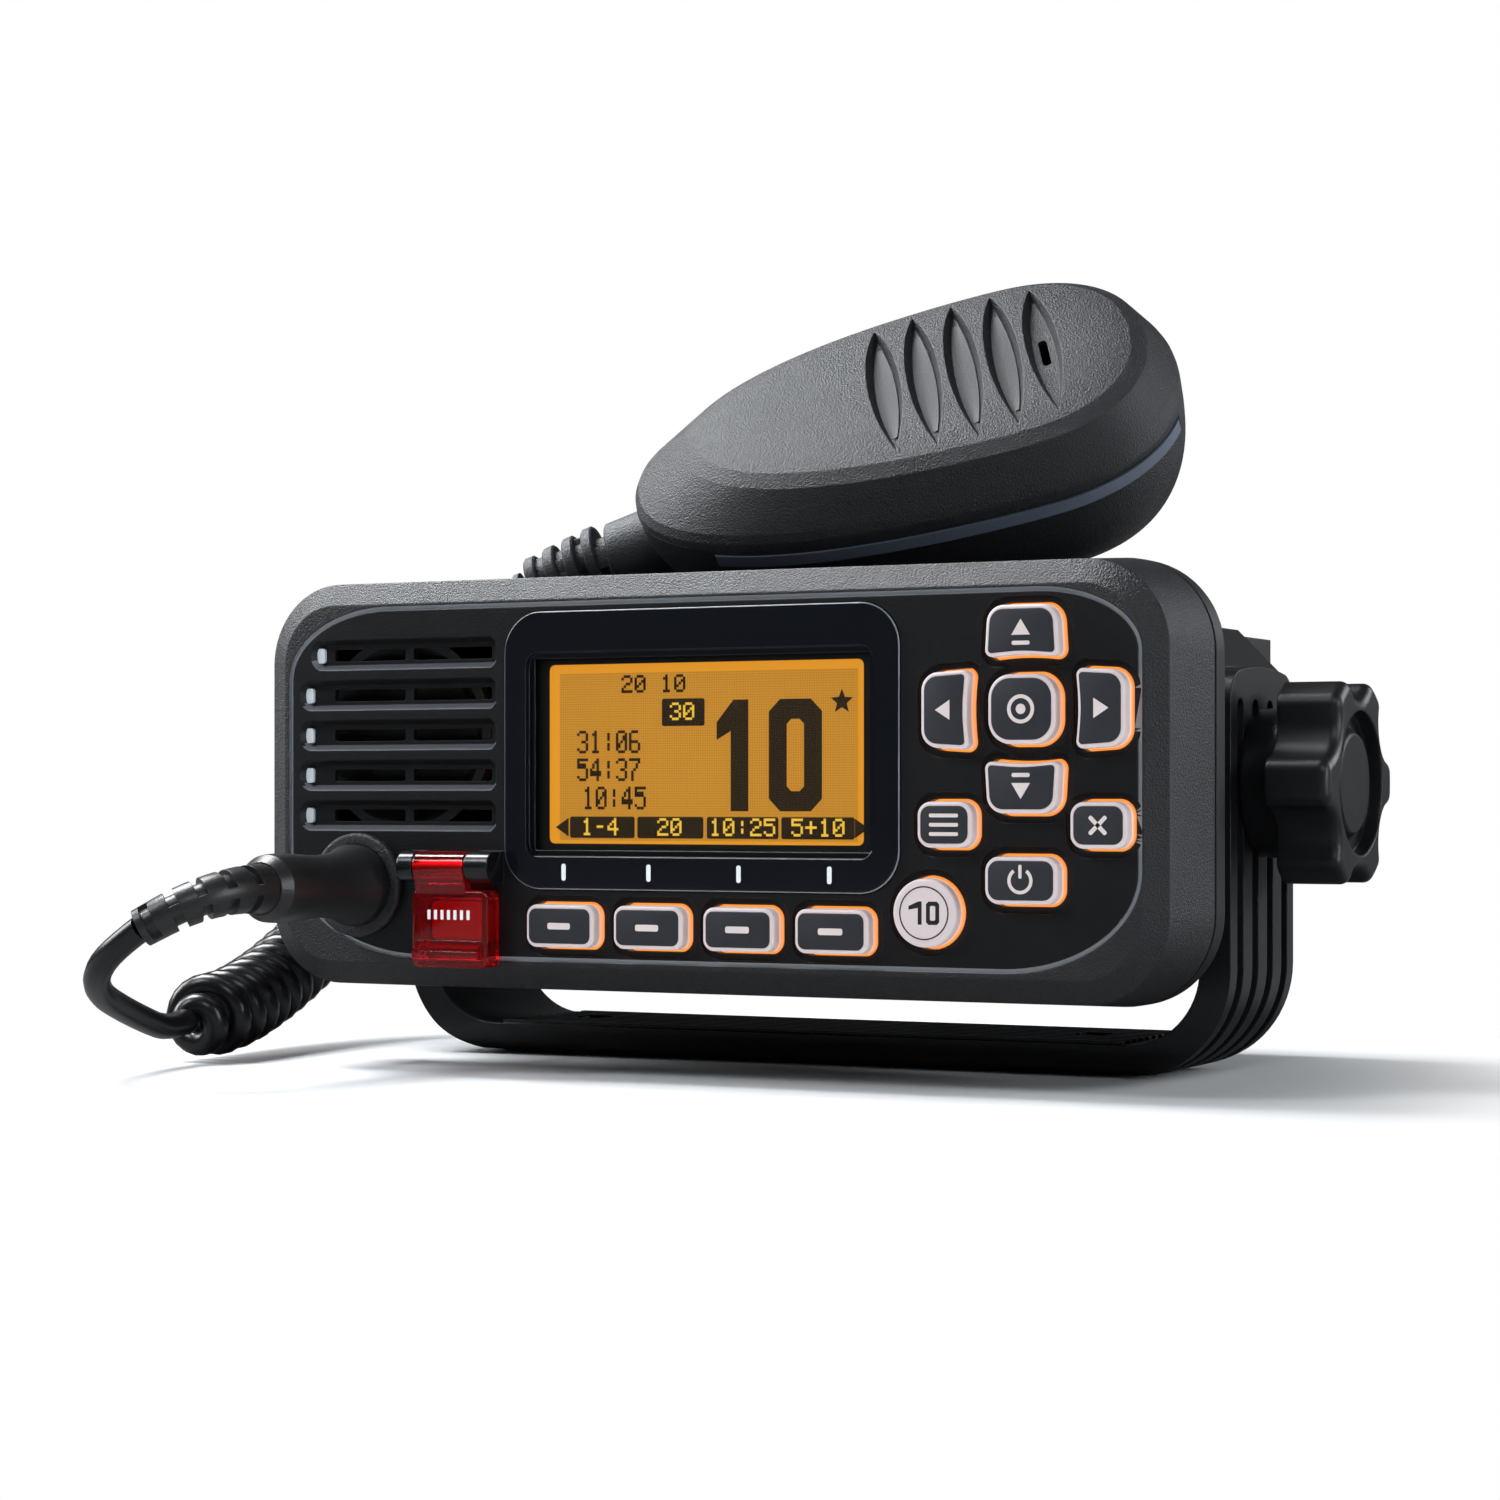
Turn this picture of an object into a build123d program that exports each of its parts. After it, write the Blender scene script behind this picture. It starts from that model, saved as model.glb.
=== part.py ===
from build123d import *
import math
import os

os.makedirs("parts", exist_ok=True)

# ---------------------------------------------------------------- driving dimensions (mm)
# The front face is a row of zones inside a framing groove, and the set's width is their sum.
left_margin, right_margin = 5.55, 4.55  # from the rim of the casing to the framing groove
top_margin, bottom_margin = 5.05, 5.45
grille_width = 39.1  # from the framing groove to the right end of the grille
display_gap = 1.7
display_width = 67.9
keypad_width = 37.7  # from the display to the framing groove
set_width = left_margin + grille_width + display_gap + display_width + keypad_width + right_margin

# The column of keys gives the set's height.
pad_key = (12.0, 8.0)
enter_key = (10.8, 10.4)
power_key = (11.6, 7.2)
pad_gap = 2.0  # between the middle key and those round it
top_gap, power_gap, bottom_gap = 2.5, 5.9, 10.0
panel_height = top_gap + 2 * pad_key[1] + 2 * pad_gap + enter_key[1] + power_gap + power_key[1] + bottom_gap
set_height = panel_height + top_margin + bottom_margin

panel_left = -set_width / 2 + left_margin
panel_right = set_width / 2 - right_margin
panel_top = set_height / 2 - top_margin
panel_bottom = -set_height / 2 + bottom_margin
rim_corner = 14.0
side_draft = 4.0  # degrees, the casing narrows towards the front
bezel_depth = 18.0
band_width = 3.4  # sloping band round the front face
band_depth = 2.0
panel_thickness = 2.5
casing_wall = 2.4

axis_height = 45.5  # tilt axis and middle of the set above the table
axis_setback = 52.6  # tilt axis behind the front face

gasket_thickness = 0.8
rim_thickness = 5.0
chassis_width = 134.0
chassis_height = 51.0
chassis_chamfer = 7.0
chassis_length = 58.0
chassis_wall = 3.5
fin_length = 16.0
fin_thickness = 1.8
fin_pitch = 5.4
top_rib_height = 4.2
top_rib_reach = 44.0  # half of the width that the ribs on the top cover
rib_top = axis_height + chassis_height / 2 + top_rib_height

running_gap = 0.05  # shaft in its bore
sliding_gap = 0.25  # key in its window
seat_gap = 0.1  # parts that rest on each other

panel = Plane((0, -axis_setback, axis_height), x_dir=(1, 0, 0), z_dir=(0, -1, 0))
front_normal = Vector(0, -1, 0)


def inside(depth):
    """Plane parallel to the front face, a depth behind it."""
    return panel.offset(-depth)


def side_plane(x):
    """Upright plane across the set at x: local x runs into the set, local y runs up."""
    return Plane((x, -axis_setback, axis_height), x_dir=(0, 1, 0), z_dir=(1, 0, 0))


def save(piece, name):
    piece.part.label = name
    export_step(piece.part, f"parts/{name}.step")


# ---------------------------------------------------------------- front casing features
key_travel = 0.8
key_rise = 2.2
key_flange = 0.9
flange_thickness = 0.9
pocket_margin = 1.3
pocket_depth = 0.7

soft_key = (12.3, 6.9)
soft_key_gap = 2.25  # from the framing groove to the row of soft keys
soft_key_row = panel_bottom + soft_key_gap + soft_key[1] / 2
soft_key_pitch = 15.5
soft_key_count = 4

display_top = panel_top - 1.5
display_bottom = soft_key_row + soft_key[1] / 2 + 2.15
display_left = panel_left + grille_width + display_gap
display_right = display_left + display_width
display_size = (display_width, display_top - display_bottom)
display_place = ((display_left + display_right) / 2, (display_top + display_bottom) / 2)
soft_key_first = display_left + 11.1
display_corner = 6.5
frame_rise = 0.35
frame_depth = 1.3
window_border = (8.2, 11.5)  # both sides together
window_size = (display_size[0] - window_border[0], display_size[1] - window_border[1])
window_place = (display_place[0] - 0.2, display_place[1] - 0.65)
window_corner = 2.2
lens_drop = 0.9
lens_thickness = 1.2
screen_margin = (5.5, 4.3)
lcd_size = (window_size[0] - screen_margin[0], window_size[1] - screen_margin[1])
lcd_place = (window_place[0] + 0.15, window_place[1] + 0.25)
lcd_border = 2.0
lcd_thickness = 5.2

small_key = (9.0, 7.0)
channel_key = 10.4  # diameter of the round key
power_place = (display_right + 20.0, panel_bottom + bottom_gap + power_key[1] / 2)
down_row = power_place[1] + (power_key[1] + pad_key[1]) / 2 + power_gap
pad_reach = (12.0, (pad_key[1] + enter_key[1]) / 2 + pad_gap)
pad_centre = (display_right + 20.1, down_row + pad_reach[1])
menu_place = (pad_centre[0] - 12.1, pad_centre[1] - 16.7)
clear_place = (pad_centre[0] + 11.8, pad_centre[1] - 16.7)
channel_place = (display_right + 4.8, power_place[1] - 4.9)

collar_radius = 8.3
collar_rise = 1.4
boot_radius = 6.45
boot_neck = 5.0
boot_length = 27.3
cable_place = (panel_left + 13.7, panel_bottom + 11.6)

cover_width = 13.9
cover_height = 12.2
cover_centre = panel_left + grille_width - 6.2
cover_bottom = panel_bottom - 1.1
cover_top = cover_bottom + cover_height
cover_axis_rise = 2.75
cover_axis_row = cover_top + 3.6
knuckle_radius = 2.45
knuckle = (cover_centre - 6.1, cover_centre + 3.2)
left_ear = (knuckle[0] - 2.9, knuckle[0] - 0.2)
right_ear = (knuckle[1] + 0.2, knuckle[1] + 4.4)
pin_radius = 0.8
cover_rise = 4.0
cover_wall = 1.3
alarm_key = (9.4, 6.4)
alarm_row = cover_bottom + 7.3
alarm_rise = 1.4

slot_count = 5
slot_top = panel_top - 7.6  # middle of the highest grille slot
slot_foot = cover_axis_row + 8.0  # middle of the lowest one
slot_pitch = (slot_top - slot_foot) / (slot_count - 1)
slot_left = panel_left + 2.0
slot_right = panel_left + grille_width
slot_height = slot_pitch - 1.52
slot_depth = 1.5
slot_open = 1.9
slot_open_left = slot_left + 5.8
slot_open_right = slot_right - 1.6
slot_rib_at = slot_left + 20.1
slot_rib = 1.5

speaker_place = ((slot_left + slot_right) / 2, (slot_top + slot_foot) / 2)
speaker_radius = 16.0
speaker_depth = 6.0
magnet_radius = 9.5
magnet_depth = 6.5

groove_width = 0.7
groove_depth = 0.45
screw_radius = 1.5
screw_head = 2.6
screw_place = (set_width / 2 - 5.65, set_height / 2 - 13.25)
screw_boss = 3.1

# ---------------------------------------------------------------- key outlines
with BuildSketch() as soft_outline:
    RectangleRounded(*soft_key, 1.9)

with BuildSketch() as side_outline:
    half_long = pad_key[0] / 2
    half_short = pad_key[1] / 2
    with BuildLine():
        Polyline(
            (-half_long, -half_short),
            (-half_long + 0.5, half_short),
            (half_long - 0.5, half_short),
            (half_long, -half_short),
        )
        ThreePointArc((half_long, -half_short), (0, -half_short + 0.5), (-half_long, -half_short))
    make_face()
    fillet(side_outline.vertices().group_by(Axis.Y)[-1], 2.8)
    fillet(side_outline.vertices().group_by(Axis.Y)[0], 1.2)

with BuildSketch() as enter_outline:
    RectangleRounded(*enter_key, 3.6)

with BuildSketch() as small_outline:
    RectangleRounded(*small_key, 2.2)

with BuildSketch() as power_outline:
    RectangleRounded(*power_key, 2.3)

with BuildSketch() as channel_outline:
    Circle(channel_key / 2)

with BuildSketch() as alarm_outline:
    RectangleRounded(*alarm_key, 1.0)

# name: outline, place on the front face, turn in degrees, rise
keys = {}
for number in range(soft_key_count):
    spot = (soft_key_first + number * soft_key_pitch, soft_key_row)
    keys[f"soft_key_{number + 1}"] = (soft_outline, spot, 0, key_rise)
keys["up_key"] = (side_outline, (pad_centre[0], pad_centre[1] + pad_reach[1]), 0, key_rise)
keys["left_key"] = (side_outline, (pad_centre[0] - pad_reach[0], pad_centre[1]), 90, key_rise)
keys["down_key"] = (side_outline, (pad_centre[0], pad_centre[1] - pad_reach[1]), 180, key_rise)
keys["right_key"] = (side_outline, (pad_centre[0] + pad_reach[0], pad_centre[1]), 270, key_rise)
keys["enter_key"] = (enter_outline, pad_centre, 0, key_rise)
keys["menu_key"] = (small_outline, menu_place, 0, key_rise)
keys["clear_key"] = (small_outline, clear_place, 0, key_rise)
keys["power_key"] = (power_outline, power_place, 0, key_rise)
keys["channel_key"] = (channel_outline, channel_place, 0, key_rise)
keys["alarm_button"] = (alarm_outline, (cover_centre, alarm_row), 0, alarm_rise)


def rounded_corner(start, corner, end):
    """Elliptical corner of an outline, as one cubic curve."""
    hold = 0.55
    first = tuple(s + (c - s) * hold for s, c in zip(start, corner))
    second = tuple(e + (c - e) * hold for e, c in zip(end, corner))
    return Bezier(start, first, second, end)


sweep_corners = ((19.0, 11.5), (16.0, 9.5), (21.5, 15.0), (25.0, 17.0))  # from top left, clockwise


def panel_outline(inset):
    """Line of the groove that frames the front face, moved in by an inset."""
    left, right = panel_left + inset, panel_right - inset
    top, bottom = panel_top - inset, panel_bottom + inset
    (lx, ly), (rx, ry), (sx, sy), (bx, by) = [(x - inset, y - inset) for x, y in sweep_corners]
    rounded_corner((left, top - ly), (left, top), (left + lx, top))
    Line((left + lx, top), (right - rx, top))
    rounded_corner((right - rx, top), (right, top), (right, top - ry))
    Line((right, top - ry), (right, bottom + sy))
    rounded_corner((right, bottom + sy), (right, bottom), (right - sx, bottom))
    Line((right - sx, bottom), (left + bx, bottom))
    rounded_corner((left + bx, bottom), (left, bottom), (left, bottom + by))
    Line((left, bottom + by), (left, top - ly))


front_width = set_width - 2 * bezel_depth * math.tan(math.radians(side_draft))
front_height = set_height - 2 * bezel_depth * math.tan(math.radians(side_draft))

room_edge = casing_wall + band_width
screw_spots = [(sx * screw_place[0], sy * screw_place[1]) for sx in (-1, 1) for sy in (-1, 1)]


def fit_inside(gap):
    """Trims a sketch to the room behind the front face, clear of the walls and the screw posts."""
    room = (front_width - 2 * (room_edge + gap), front_height - 2 * (room_edge + gap))
    RectangleRounded(*room, rim_corner - room_edge - gap, mode=Mode.INTERSECT)
    with Locations(*screw_spots):
        Circle(screw_boss + gap, mode=Mode.SUBTRACT)


# ---------------------------------------------------------------- front casing
with BuildPart() as front_panel:
    with BuildSketch(inside(bezel_depth)):
        RectangleRounded(set_width, set_height, rim_corner)
    extrude(amount=bezel_depth, taper=side_draft)
    face = front_panel.faces().sort_by(Axis.Y)[0]
    chamfer(face.edges(), length=band_width, length2=band_depth, reference=face)
    with BuildSketch(inside(bezel_depth)):
        RectangleRounded(set_width - 2 * casing_wall, set_height - 2 * casing_wall, rim_corner - casing_wall)
    extrude(amount=bezel_depth - panel_thickness - band_depth, taper=side_draft, mode=Mode.SUBTRACT)
    with BuildSketch(inside(panel_thickness + band_depth)):
        RectangleRounded(front_width - 2 * room_edge, front_height - 2 * room_edge, rim_corner - room_edge)
    extrude(amount=band_depth, mode=Mode.SUBTRACT)
    # screw posts, each grown into a side wall
    for x in (-screw_place[0], screw_place[0]):
        for y in (-screw_place[1], screw_place[1]):
            with BuildSketch(inside(bezel_depth)):
                with Locations((x, y)):
                    Circle(screw_boss)
            extrude(amount=bezel_depth - panel_thickness - band_depth + 0.5)
            with BuildSketch(inside(bezel_depth)):
                with Locations((x, y)):
                    Circle(screw_radius + running_gap)
            extrude(amount=8, mode=Mode.SUBTRACT)
    # framing groove
    with BuildSketch(panel):
        with BuildLine():
            panel_outline(0)
        make_face()
        with BuildLine():
            panel_outline(groove_width)
        make_face(mode=Mode.SUBTRACT)
    extrude(amount=-groove_depth, mode=Mode.SUBTRACT)
    # speaker grille: tapered troughs with long openings
    for row in range(slot_count):
        level = slot_top - row * slot_pitch
        left = slot_left + (2.2 if row == 0 else 0)
        with BuildSketch(panel) as trough:
            with Locations(((left + slot_right) / 2, level)):
                Rectangle(slot_right - left, slot_height)
            fillet(trough.vertices().group_by(Axis.X)[0], 2.2)
            chamfer(trough.vertices().group_by(Axis.X)[-1], 0.9)
        extrude(amount=-slot_depth, taper=30, mode=Mode.SUBTRACT)
        for start, end in (
            (slot_open_left, slot_rib_at - slot_rib / 2),
            (slot_rib_at + slot_rib / 2, slot_open_right),
        ):
            with BuildSketch(panel):
                with Locations(((start + end) / 2, level)):
                    RectangleRounded(end - start, slot_open, 0.4)
            extrude(amount=-panel_thickness, mode=Mode.SUBTRACT)
    # seat and opening of the display
    with BuildSketch(panel):
        with Locations(display_place):
            RectangleRounded(
                display_size[0] + 2 * seat_gap, display_size[1] + 2 * seat_gap, display_corner + seat_gap
            )
    extrude(amount=-frame_depth, mode=Mode.SUBTRACT)
    with BuildSketch(panel):
        with Locations(window_place):
            Rectangle(*window_size)
    extrude(amount=-panel_thickness, mode=Mode.SUBTRACT)
    # key pockets, then key windows
    for outline, spot, turn, rise in keys.values():
        with BuildSketch(panel):
            with Locations(spot):
                add(outline.sketch, rotation=turn)
            offset(amount=pocket_margin)
        extrude(amount=-pocket_depth, mode=Mode.SUBTRACT)
        with BuildSketch(panel):
            with Locations(spot):
                add(outline.sketch, rotation=turn)
            offset(amount=sliding_gap)
        extrude(amount=-panel_thickness - band_depth, mode=Mode.SUBTRACT)
    # microphone cable entry
    with BuildSketch(panel):
        with Locations(cable_place):
            Circle(boot_neck + seat_gap)
    extrude(amount=-panel_thickness, mode=Mode.SUBTRACT)
    # hinge ears of the alarm cover
    for start, end in (left_ear, right_ear):
        with BuildSketch(side_plane(start)):
            with Locations((-cover_axis_rise, cover_axis_row)):
                Circle(knuckle_radius)
            with Locations((0.3 - cover_axis_rise / 2, cover_axis_row)):
                Rectangle(cover_axis_rise + 0.6, 2 * knuckle_radius)
        extrude(amount=end - start)
    with BuildSketch(side_plane(left_ear[0] + 0.8)):
        with Locations((-cover_axis_rise, cover_axis_row)):
            Circle(pin_radius + seat_gap / 2)
    extrude(amount=right_ear[1] - left_ear[0] - 1.6, mode=Mode.SUBTRACT)
save(front_panel, "front_panel")

# ---------------------------------------------------------------- display
with BuildPart() as display_frame:
    with BuildSketch(inside(frame_depth - seat_gap)):
        with Locations(display_place):
            RectangleRounded(*display_size, display_corner)
    extrude(amount=frame_depth - seat_gap + frame_rise)
    fillet(display_frame.faces().sort_by(Axis.Y)[0].edges(), 0.3)
    with BuildSketch(inside(-frame_rise)):
        with Locations(window_place):
            RectangleRounded(*window_size, window_corner)
    extrude(amount=-frame_rise - lens_drop, mode=Mode.SUBTRACT)
    with BuildSketch(inside(0)):
        with Locations(window_place):
            Rectangle(window_size[0] - 2, window_size[1] - 2)
    extrude(amount=-frame_depth, mode=Mode.SUBTRACT)
save(display_frame, "display_frame")

lens_back = frame_depth + lens_thickness
with BuildPart() as display_lens:
    with BuildSketch(inside(lens_back)):
        with Locations(window_place):
            RectangleRounded(window_size[0] - 2 * seat_gap, window_size[1] - 2 * seat_gap, window_corner)
    extrude(amount=lens_thickness - seat_gap)
save(display_lens, "display_lens")

lcd_front = lens_back + seat_gap
with BuildPart() as lcd_module:
    with BuildSketch(inside(lcd_front)):
        with Locations(lcd_place):
            Rectangle(lcd_size[0] + 2 * lcd_border, lcd_size[1] + 2 * lcd_border)
    extrude(amount=-lcd_thickness)
    with BuildSketch(inside(lcd_front)):
        with Locations(lcd_place):
            Rectangle(*lcd_size)
    extrude(amount=-0.3, mode=Mode.SUBTRACT)
    chamfer(lcd_module.faces().sort_by(Axis.Y)[-1].edges(), 0.5)
save(lcd_module, "lcd_module")

# ---------------------------------------------------------------- keys
flange_front = panel_thickness + seat_gap
flange_back = flange_front + flange_thickness


def build_key(outline, spot, turn, rise):
    """Key cap that stands through its window, with a flange behind the panel."""
    with BuildPart() as key:
        with BuildSketch(inside(flange_front)):
            with Locations(spot):
                add(outline.sketch, rotation=turn)
        extrude(amount=flange_front + rise, taper=2)
        fillet(key.faces().sort_by(Axis.Y)[0].edges(), 0.5)
        with BuildSketch(inside(flange_front)):
            with Locations(spot):
                add(outline.sketch, rotation=turn)
            offset(amount=key_flange)
            fit_inside(seat_gap)
        extrude(amount=-flange_thickness)
    return key


for name, (outline, spot, turn, rise) in keys.items():
    save(build_key(outline, spot, turn, rise), name)

mat_front = flange_back + key_travel + seat_gap
mat_thickness = 1.2
board_front = lcd_front + lcd_thickness + seat_gap
board_thickness = 1.6
guide_front = mat_front + mat_thickness + seat_gap

board_left = display_left + 0.9
board_right = panel_right - 2.7
board_half = panel_height / 2 - 3.2
key_column = (display_right + 1.4, board_right)
key_row = (-board_half, display_bottom - 1.1)


def key_area():
    """L-shaped area behind the keys: a column beside the display and a row below it."""
    with Locations(((key_column[0] + key_column[1]) / 2, 0)):
        Rectangle(key_column[1] - key_column[0], 2 * board_half)
    with Locations(((board_left + key_column[1]) / 2, (key_row[0] + key_row[1]) / 2)):
        Rectangle(key_column[1] - board_left, key_row[1] - key_row[0])
    fit_inside(sliding_gap)


with BuildPart() as keypad_mat:
    with BuildSketch(inside(mat_front)):
        key_area()
    extrude(amount=-mat_thickness)
save(keypad_mat, "keypad_mat")

with BuildPart() as light_guide:
    with BuildSketch(inside(guide_front)):
        key_area()
    extrude(amount=-(board_front - guide_front - seat_gap))
save(light_guide, "light_guide")

with BuildPart() as front_board:
    with BuildSketch(inside(board_front)):
        with Locations(((board_left + board_right) / 2, 0)):
            Rectangle(board_right - board_left, 2 * board_half)
        fillet(vertices().group_by(Axis.X)[0], 2)
        fit_inside(sliding_gap)
    extrude(amount=-board_thickness)
save(front_board, "front_board")

# ---------------------------------------------------------------- loudspeaker
with BuildPart() as speaker:
    with BuildSketch(inside(panel_thickness + seat_gap)):
        with Locations(speaker_place):
            Circle(speaker_radius)
    extrude(amount=-speaker_depth, taper=20)
    with BuildSketch(inside(panel_thickness + seat_gap)):
        with Locations(speaker_place):
            Circle(speaker_radius - 1.5)
    extrude(amount=-speaker_depth + 1.5, taper=40, mode=Mode.SUBTRACT)
    with BuildSketch(inside(panel_thickness + seat_gap + speaker_depth)):
        with Locations(speaker_place):
            Circle(magnet_radius)
    extrude(amount=-magnet_depth)
save(speaker, "speaker")

# ---------------------------------------------------------------- alarm cover and its pin
with BuildPart() as alarm_cover:
    with BuildSketch(inside(-cover_rise)) as flap:
        with Locations((cover_centre, (cover_top + cover_bottom) / 2)):
            RectangleRounded(cover_width, cover_top - cover_bottom, 1.2)
    extrude(amount=-cover_rise + 0.3)
    fillet(alarm_cover.faces().sort_by(Axis.Y)[0].edges(), 0.6)
    with BuildSketch(inside(-cover_rise + cover_wall)):
        with Locations((cover_centre, (cover_top + cover_bottom) / 2)):
            Rectangle(cover_width - 2 * cover_wall, cover_top - cover_bottom - 2 * cover_wall)
    extrude(amount=-cover_rise, mode=Mode.SUBTRACT)
    # thumb lip
    with BuildSketch(side_plane(cover_centre - cover_width / 2 + 1)):
        with BuildLine():
            Polyline(
                (-cover_rise + 0.3, cover_bottom + 1.2),
                (-cover_rise - 1.4, cover_bottom + 1.6),
                (-cover_rise - 1.4, cover_bottom + 2.6),
                (-cover_rise + 0.3, cover_bottom + 4.6),
                close=True,
            )
        make_face()
    extrude(amount=cover_width - 2)
    # knuckle and the neck that carries the flap
    with BuildSketch(side_plane(knuckle[0] + seat_gap)):
        with Locations((-cover_axis_rise, cover_axis_row)):
            Circle(knuckle_radius)
        with BuildLine():
            Polyline(
                (-cover_axis_rise - knuckle_radius, cover_axis_row),
                (-cover_rise, cover_top - 0.6),
                (-cover_rise + cover_wall + 0.5, cover_top - 0.6),
                (-cover_axis_rise, cover_axis_row - 0.4),
                close=True,
            )
        make_face()
    extrude(amount=knuckle[1] - knuckle[0] - 2 * seat_gap)
    with BuildSketch(side_plane(knuckle[0])):
        with Locations((-cover_axis_rise, cover_axis_row)):
            Circle(pin_radius + running_gap)
    extrude(amount=knuckle[1] - knuckle[0], mode=Mode.SUBTRACT)
save(alarm_cover, "alarm_cover")

with BuildPart() as cover_pin:
    with BuildSketch(side_plane(left_ear[0] + 0.8 + seat_gap)):
        with Locations((-cover_axis_rise, cover_axis_row)):
            Circle(pin_radius)
    extrude(amount=right_ear[1] - left_ear[0] - 1.6 - 2 * seat_gap)
save(cover_pin, "cover_pin")

# ---------------------------------------------------------------- rear casing
rim_front = bezel_depth + gasket_thickness
rim_back = rim_front + rim_thickness
chassis_back = rim_back + chassis_length
with BuildPart() as gasket:
    with BuildSketch(inside(bezel_depth + running_gap)):
        RectangleRounded(set_width - 1.4, set_height - 1.4, rim_corner - 0.7)
        RectangleRounded(set_width - 14, set_height - 12, rim_corner - 6, mode=Mode.SUBTRACT)
        with Locations(*screw_spots):
            Circle(screw_radius + 0.3, mode=Mode.SUBTRACT)
    extrude(amount=-gasket_thickness + 2 * running_gap)
save(gasket, "gasket")

jack_place = (-24.0, 9.0)
lead_places = ((-31.0, -12.0), (-16.0, -12.0))
pad_left, pad_right = -41.0, -7.0
pad_height = 44.0
pad_depth = 6.0
jack_radius = 7.94
jack_length = 12.0
bolt_radius = 2.5
bolt_boss = 7.0
bolt_boss_length = 9.0
chassis_floor = -chassis_height / 2 + chassis_wall
board_level = -11.0
main_board = (chassis_width - 2 * chassis_wall - 11.0, 44.0)
main_board_middle = rim_back + 27.0  # distance behind the front face
board_edge = (6.0, 5.0)
standoff = (main_board[0] / 2 - board_edge[0], main_board[1] / 2 - board_edge[1])
standoff_spots = [(sx * standoff[0], sy * standoff[1]) for sx in (-1, 1) for sy in (-1, 1)]

with BuildPart() as rear_case:
    with BuildSketch(inside(rim_front)):
        RectangleRounded(set_width, set_height, rim_corner)
    extrude(amount=-rim_thickness)
    fillet(rear_case.faces().sort_by(Axis.Y)[-1].edges(), 1.6)
    with BuildSketch(inside(rim_front + 1)) as section:
        Rectangle(chassis_width, chassis_height)
        chamfer(section.vertices(), chassis_chamfer)
    extrude(amount=-(chassis_back - rim_front - 1))
    with BuildSketch(inside(rim_front)) as cavity:
        Rectangle(chassis_width - 2 * chassis_wall, chassis_height - 2 * chassis_wall)
        chamfer(cavity.vertices(), chassis_chamfer - chassis_wall / 2)
    extrude(amount=-(chassis_back - rim_front - chassis_wall), mode=Mode.SUBTRACT)
    # cooling fins on the back, either side of the connector pad
    fin_count = int((chassis_width - 2 * chassis_chamfer) / fin_pitch) + 1
    for index in range(fin_count):
        x = (index - (fin_count - 1) / 2) * fin_pitch
        if pad_left - fin_thickness < x < pad_right + fin_thickness:
            continue
        with BuildSketch(inside(chassis_back)):
            with Locations((x, 0)):
                Rectangle(fin_thickness, chassis_height - 2)
        extrude(amount=-fin_length)
    # matching ribs along the top
    rib_count = 2 * int(top_rib_reach / fin_pitch) + 1
    for index in range(rib_count):
        x = (index - rib_count // 2) * fin_pitch
        with BuildSketch(Plane.XY.offset(axis_height + chassis_height / 2 - 1)):
            with Locations((x, rim_back - axis_setback + chassis_length / 2 - 1)):
                Rectangle(fin_thickness, chassis_length)
        extrude(amount=top_rib_height + 1)
    with BuildSketch(inside(chassis_back)):
        with Locations(((pad_left + pad_right) / 2, 0)):
            RectangleRounded(pad_right - pad_left, pad_height, 3)
    extrude(amount=-pad_depth)
    for spot in lead_places:
        with BuildSketch(inside(chassis_back - chassis_wall)):
            with Locations(spot):
                Circle(4.2)
        extrude(amount=-(pad_depth + chassis_wall), mode=Mode.SUBTRACT)
    with BuildSketch(inside(chassis_back - chassis_wall)):
        with Locations(jack_place):
            Circle(5.2)
    extrude(amount=-(pad_depth + chassis_wall), mode=Mode.SUBTRACT)
    # bosses that take the knob bolts
    for side in (-1, 1):
        with BuildSketch(Plane((side * chassis_width / 2, 0, axis_height), z_dir=(-side, 0, 0))):
            Circle(bolt_boss)
        extrude(amount=bolt_boss_length)
        with BuildSketch(Plane((side * chassis_width / 2, 0, axis_height), z_dir=(-side, 0, 0))):
            Circle(bolt_radius + running_gap)
        extrude(amount=bolt_boss_length - 1.5, mode=Mode.SUBTRACT)
    # posts that carry the main board
    with BuildSketch(Plane.XY.offset(axis_height + chassis_floor - 0.5)):
        with Locations(*[(x, main_board_middle - axis_setback + y) for x, y in standoff_spots]):
            Circle(2.6)
    extrude(amount=board_level - chassis_floor + 0.5)
    # screw holes through the rim
    with BuildSketch(inside(rim_front)):
        with Locations(*screw_spots):
            Circle(screw_radius + 0.2)
    extrude(amount=-rim_thickness, mode=Mode.SUBTRACT)
save(rear_case, "rear_case")

with BuildPart() as case_screws:
    for sx in (-1, 1):
        for sy in (-1, 1):
            with BuildSketch(inside(rim_back)):
                with Locations((sx * screw_place[0], sy * screw_place[1])):
                    Circle(screw_radius)
            extrude(amount=rim_thickness + gasket_thickness + 7)
            with BuildSketch(inside(rim_back + seat_gap / 2)):
                with Locations((sx * screw_place[0], sy * screw_place[1])):
                    Circle(screw_head)
            extrude(amount=-1.8)
            with BuildSketch(inside(rim_back)):
                with Locations((sx * screw_place[0], sy * screw_place[1])):
                    Circle(screw_radius)
            extrude(amount=-1)
save(case_screws, "case_screws")

with BuildPart() as main_board_part:
    with BuildSketch(Plane.XY.offset(axis_height + board_level + seat_gap / 2)):
        with Locations((0, main_board_middle - axis_setback)):
            Rectangle(*main_board)
    extrude(amount=board_thickness)
save(main_board_part, "main_board")

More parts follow.
